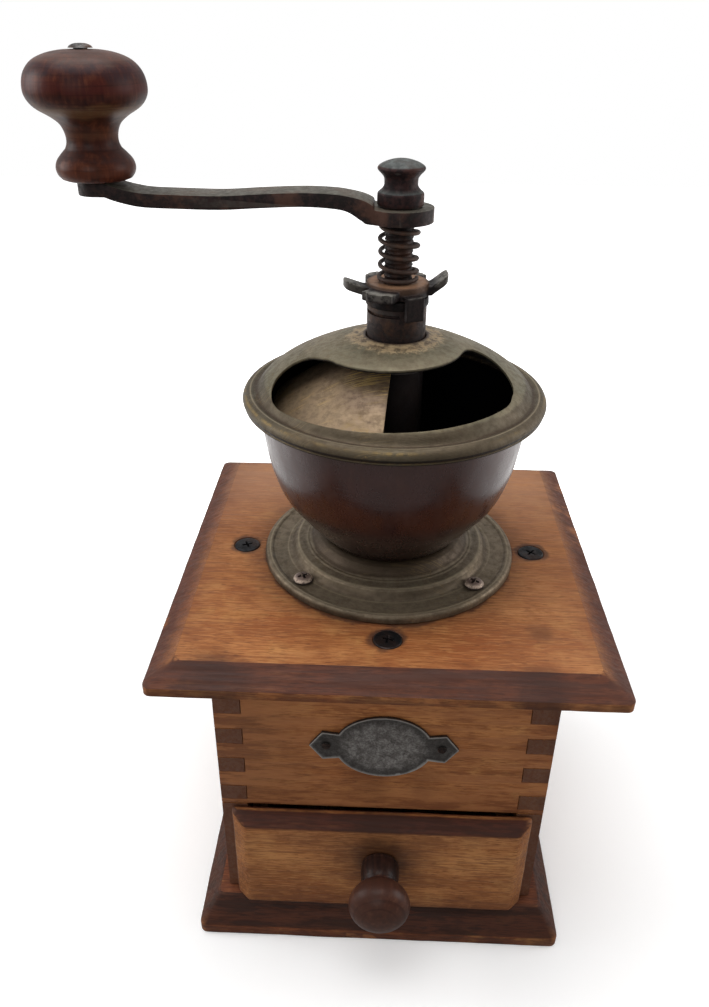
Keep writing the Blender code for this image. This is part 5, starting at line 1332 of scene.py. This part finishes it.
def makeArm():
    a = arm
    across, hub = -a["length"] - a["pad"] - 0.3, a["hub"] + 0.3
    underRise = a["rise"] + a["hubThick"] - a["thick"]
    upper = smoothRun([(-a["length"] * x, a["hubTop"] + a["rise"] * h) for x, h in a["top"]], 4)
    lower = smoothRun([(-a["length"] * x, a["hubBottom"] + underRise * h) for x, h in a["under"]], 4)
    outline = [(hub, a["hubTop"])] + [spot for spot in upper if spot[0] < -1]
    outline += [(across, a["padTop"]), (across, a["padTop"] - a["thick"])]
    outline += [spot for spot in reversed(lower) if spot[0] < -1] + [(hub, a["hubBottom"])]
    piece = movePiece(drawPlate("crankArm", outline, -hub, hub), turned(90, "X"))
    # its plan: a round hub and a round pad, with fillets where the strip leaves the hub
    half = a["width"] / 2
    meet = math.asin(half / a["hub"])
    start = math.degrees(meet) + math.degrees(a["fillet"] / a["hub"] / 2)
    neck = -a["hub"] * math.cos(meet)
    plan = arcPoints(a["hub"], 180 + start, 540 - start, 72)
    plan += softCorner(plan[-1], (neck, half), (neck - a["fillet"], half))[1:]
    plan += [(x - a["length"], y) for x, y in arcPoints(a["pad"], 90, 270, 32)]
    plan += softCorner((neck - a["fillet"], -half), (neck, -half), plan[0])[:-1]
    carve(piece, drawPlate("armPlanCutter", plan, 230, 255), mode="INTERSECT")
    side = a["square"]
    carve(piece, addBlock("armSquareCutter", (-side, -side, 230), (side, side, 250)))
    carve(piece, addRod("armPinCutter", a["bore"], 50, (-a["length"], 0, 245)))
    roundEdges(piece, 0.38, 3, 35)
    smoothShade(piece, 35)
    look = {"skin": (0.028, 0.0145, 0.0135), "dark": (0.010, 0.0065, 0.0065), "rust": (0.090, 0.040, 0.026),
            "rustAmount": 0.75, "metallic": 0.15, "wornAmount": 0.35, "worn": (0.15, 0.125, 0.105)}
    # its upper faces get a painted sheen
    settle(piece, makeIron("armIron", look, 10, paintedTopSheen=(0.100, 0.092, 0.070)), "crank", "crank_arm")


def makeCapAndKnob():
    nut = movePiece(spinPiece("capNut", capNut, steps=72), at(0, 0, seats["capNut"]))
    smoothShade(nut, 35)
    look = {"skin": (0.036, 0.0145, 0.0135), "dark": (0.012, 0.006, 0.0065), "rust": (0.085, 0.033, 0.023),
            "rustAmount": 0.6, "metallic": 0.10, "wornAmount": 0.2, "shine": 0.2}
    # its upper faces get a painted sheen
    settle(nut, makeIron("capIron", look, 11, paintedTopSheen=(0.090, 0.105, 0.100)), "crank", "cap_nut")
    knob = movePiece(spinPiece("handKnob", handKnob, steps=96), at(-arm["length"], 0, seats["knob"]))
    smoothShade(knob, 50)
    # the first band, lighter and greyer on the crown, is a painted sheen
    bands = ((0.2756, 0.2900, 0.75, (0.082, 0.045, 0.034)), (0.2724, 0.2760, 0.85, (0.026, 0.0100, 0.0135)),
             (0.2690, 0.2724, 0.60, (0.072, 0.0135, 0.0125)), (0.2662, 0.2690, 0.65, (0.026, 0.0080, 0.0075)),
             (0.2628, 0.2664, 0.85, (0.165, 0.090, 0.042)), (0.2608, 0.2630, 0.60, (0.060, 0.024, 0.0150)),
             (0.2577, 0.2608, 0.55, (0.115, 0.046, 0.022)), (0.2569, 0.2577, 0.80, (0.024, 0.0080, 0.0060)),
             (0.2519, 0.2569, 0.60, (0.062, 0.030, 0.026)), (0.2476, 0.2519, 0.50, (0.100, 0.033, 0.0180)))
    settle(knob, makePolish("handKnobPolish", 2, 1, bands), "knob_body", "knob")
    pin = movePiece(spinPiece("knobPin", knobPin, steps=40), at(-arm["length"], 0, seats["pin"]))
    smoothShade(pin)
    look = {"skin": (0.10, 0.095, 0.092), "dark": (0.030, 0.027, 0.026), "metallic": 0.7}
    settle(pin, makeIron("pinSteel", look, 12), "crank", "knob_pin")


makeArm()
makeCapAndKnob()
print("crank made")


# Camera, lamps and floor
# the camera's place in millimetres, its turns in radians and its lens
camera = {"place": (-3.76961, -247.07981, 287.90840), "yaw": -0.0333205, "pitch": 0.527198, "roll": -0.0109185,
          "lens": 30.1154}


def addCamera():
    yaw, pitch, roll = camera["yaw"], camera["pitch"], camera["roll"]
    forward = Vector((math.sin(yaw) * math.cos(pitch), math.cos(yaw) * math.cos(pitch), -math.sin(pitch)))
    right = Vector((math.cos(yaw), -math.sin(yaw), 0))
    down = forward.cross(right)
    side = math.cos(roll) * right + math.sin(roll) * down
    under = -math.sin(roll) * right + math.cos(roll) * down
    turn = Matrix((side, -under, -forward)).transposed().to_4x4()
    bpy.ops.object.camera_add()
    made = bpy.context.active_object
    made.name = "photoCamera"
    made.matrix_world = Matrix.Translation(Vector(camera["place"]) * mm) @ turn
    made.data.sensor_width = 36
    made.data.lens = camera["lens"]
    made.data.clip_start = 0.01
    made.data.clip_end = 20
    bpy.context.scene.camera = made


lamps = {
    "overhead": {"place": (-0.10, 0.05, 0.95), "size": 0.8, "power": 5.6},
    "leftWindow": {"place": (-0.75, 0.02, 0.42), "size": 0.5, "power": 2.6},
    "rightWindow": {"place": (0.75, 0.08, 0.40), "size": 0.5, "power": 2.2},
    "front": {"place": (-0.15, -0.95, 0.60), "size": 0.6, "power": 2.0},
}
room = {"diffuse": 0.30, "gloss": 0.70, "glossFront": 0.04, "frontFrom": -0.60, "frontTo": -0.05}
ground = {"size": 3.0, "whiteFrom": 0.14, "whiteTo": 0.30, "darkFrom": -0.16, "darkTo": 0.03, "frontGloss": 0.04}


def addLamps():
    for name, values in lamps.items():
        bpy.ops.object.light_add(type="AREA", location=values["place"])
        lamp = bpy.context.active_object
        lamp.name = name + "Lamp"
        lamp.data.shape = "DISK"
        lamp.data.size = values["size"]
        lamp.data.energy = values["power"]
        aim = Vector((0, 0, 0.15)) - lamp.location
        lamp.rotation_euler = aim.to_track_quat("-Z", "Y").to_euler()
        lamp.visible_camera = False


def addRoom():
    world = bpy.data.worlds.new("paleRoom")
    bpy.context.scene.world = world
    world.use_nodes = True
    back = world.node_tree.nodes["Background"].inputs
    back["Color"].default_value = (1, 1, 1, 1)
    w = NodeSet(world.node_tree)
    rays = w.rays()
    # reflections see a darker room in front of the grinder than beside and above it
    shine = w.fade(w.parts(w.where["Generated"])[1], room["frontFrom"], room["frontTo"], room["glossFront"],
                   room["gloss"])
    level = w.add("MapRange", {"Value": rays["Is Glossy Ray"], "To Min": room["diffuse"], "To Max": shine})
    through = w.maths("MAXIMUM", level, rays["Is Transmission Ray"])
    w.plug(back["Strength"], w.maths("MAXIMUM", through, rays["Is Camera Ray"]))


def addFloor():
    floor = addShape("floor", "plane", size=ground["size"])
    f = Finish("paleFloor", {"Roughness": 0.9, "Specular IOR Level": 0.1, "Emission Color": (1, 1, 1, 1)})
    rays = f.rays()
    white = f.fade(f.around(), ground["whiteFrom"], ground["whiteTo"], 0.22, 1.0)
    front = f.fade(f.parts()[1], ground["darkFrom"], ground["darkTo"], ground["frontGloss"], 1.0)
    seen = f.maths("MAXIMUM", rays["Is Camera Ray"], f.times(rays["Is Glossy Ray"], front))
    f.plug(f.shader.inputs["Emission Strength"], f.times(white, seen))
    floor.data.materials.append(f.finish(f.mix(rays["Is Camera Ray"], (0.36, 0.35, 0.34), (0.90, 0.90, 0.90))))


bpy.context.scene.view_settings.view_transform = "Standard"
addCamera()
addLamps()
addRoom()
addFloor()
print("camera, lamps and floor placed")
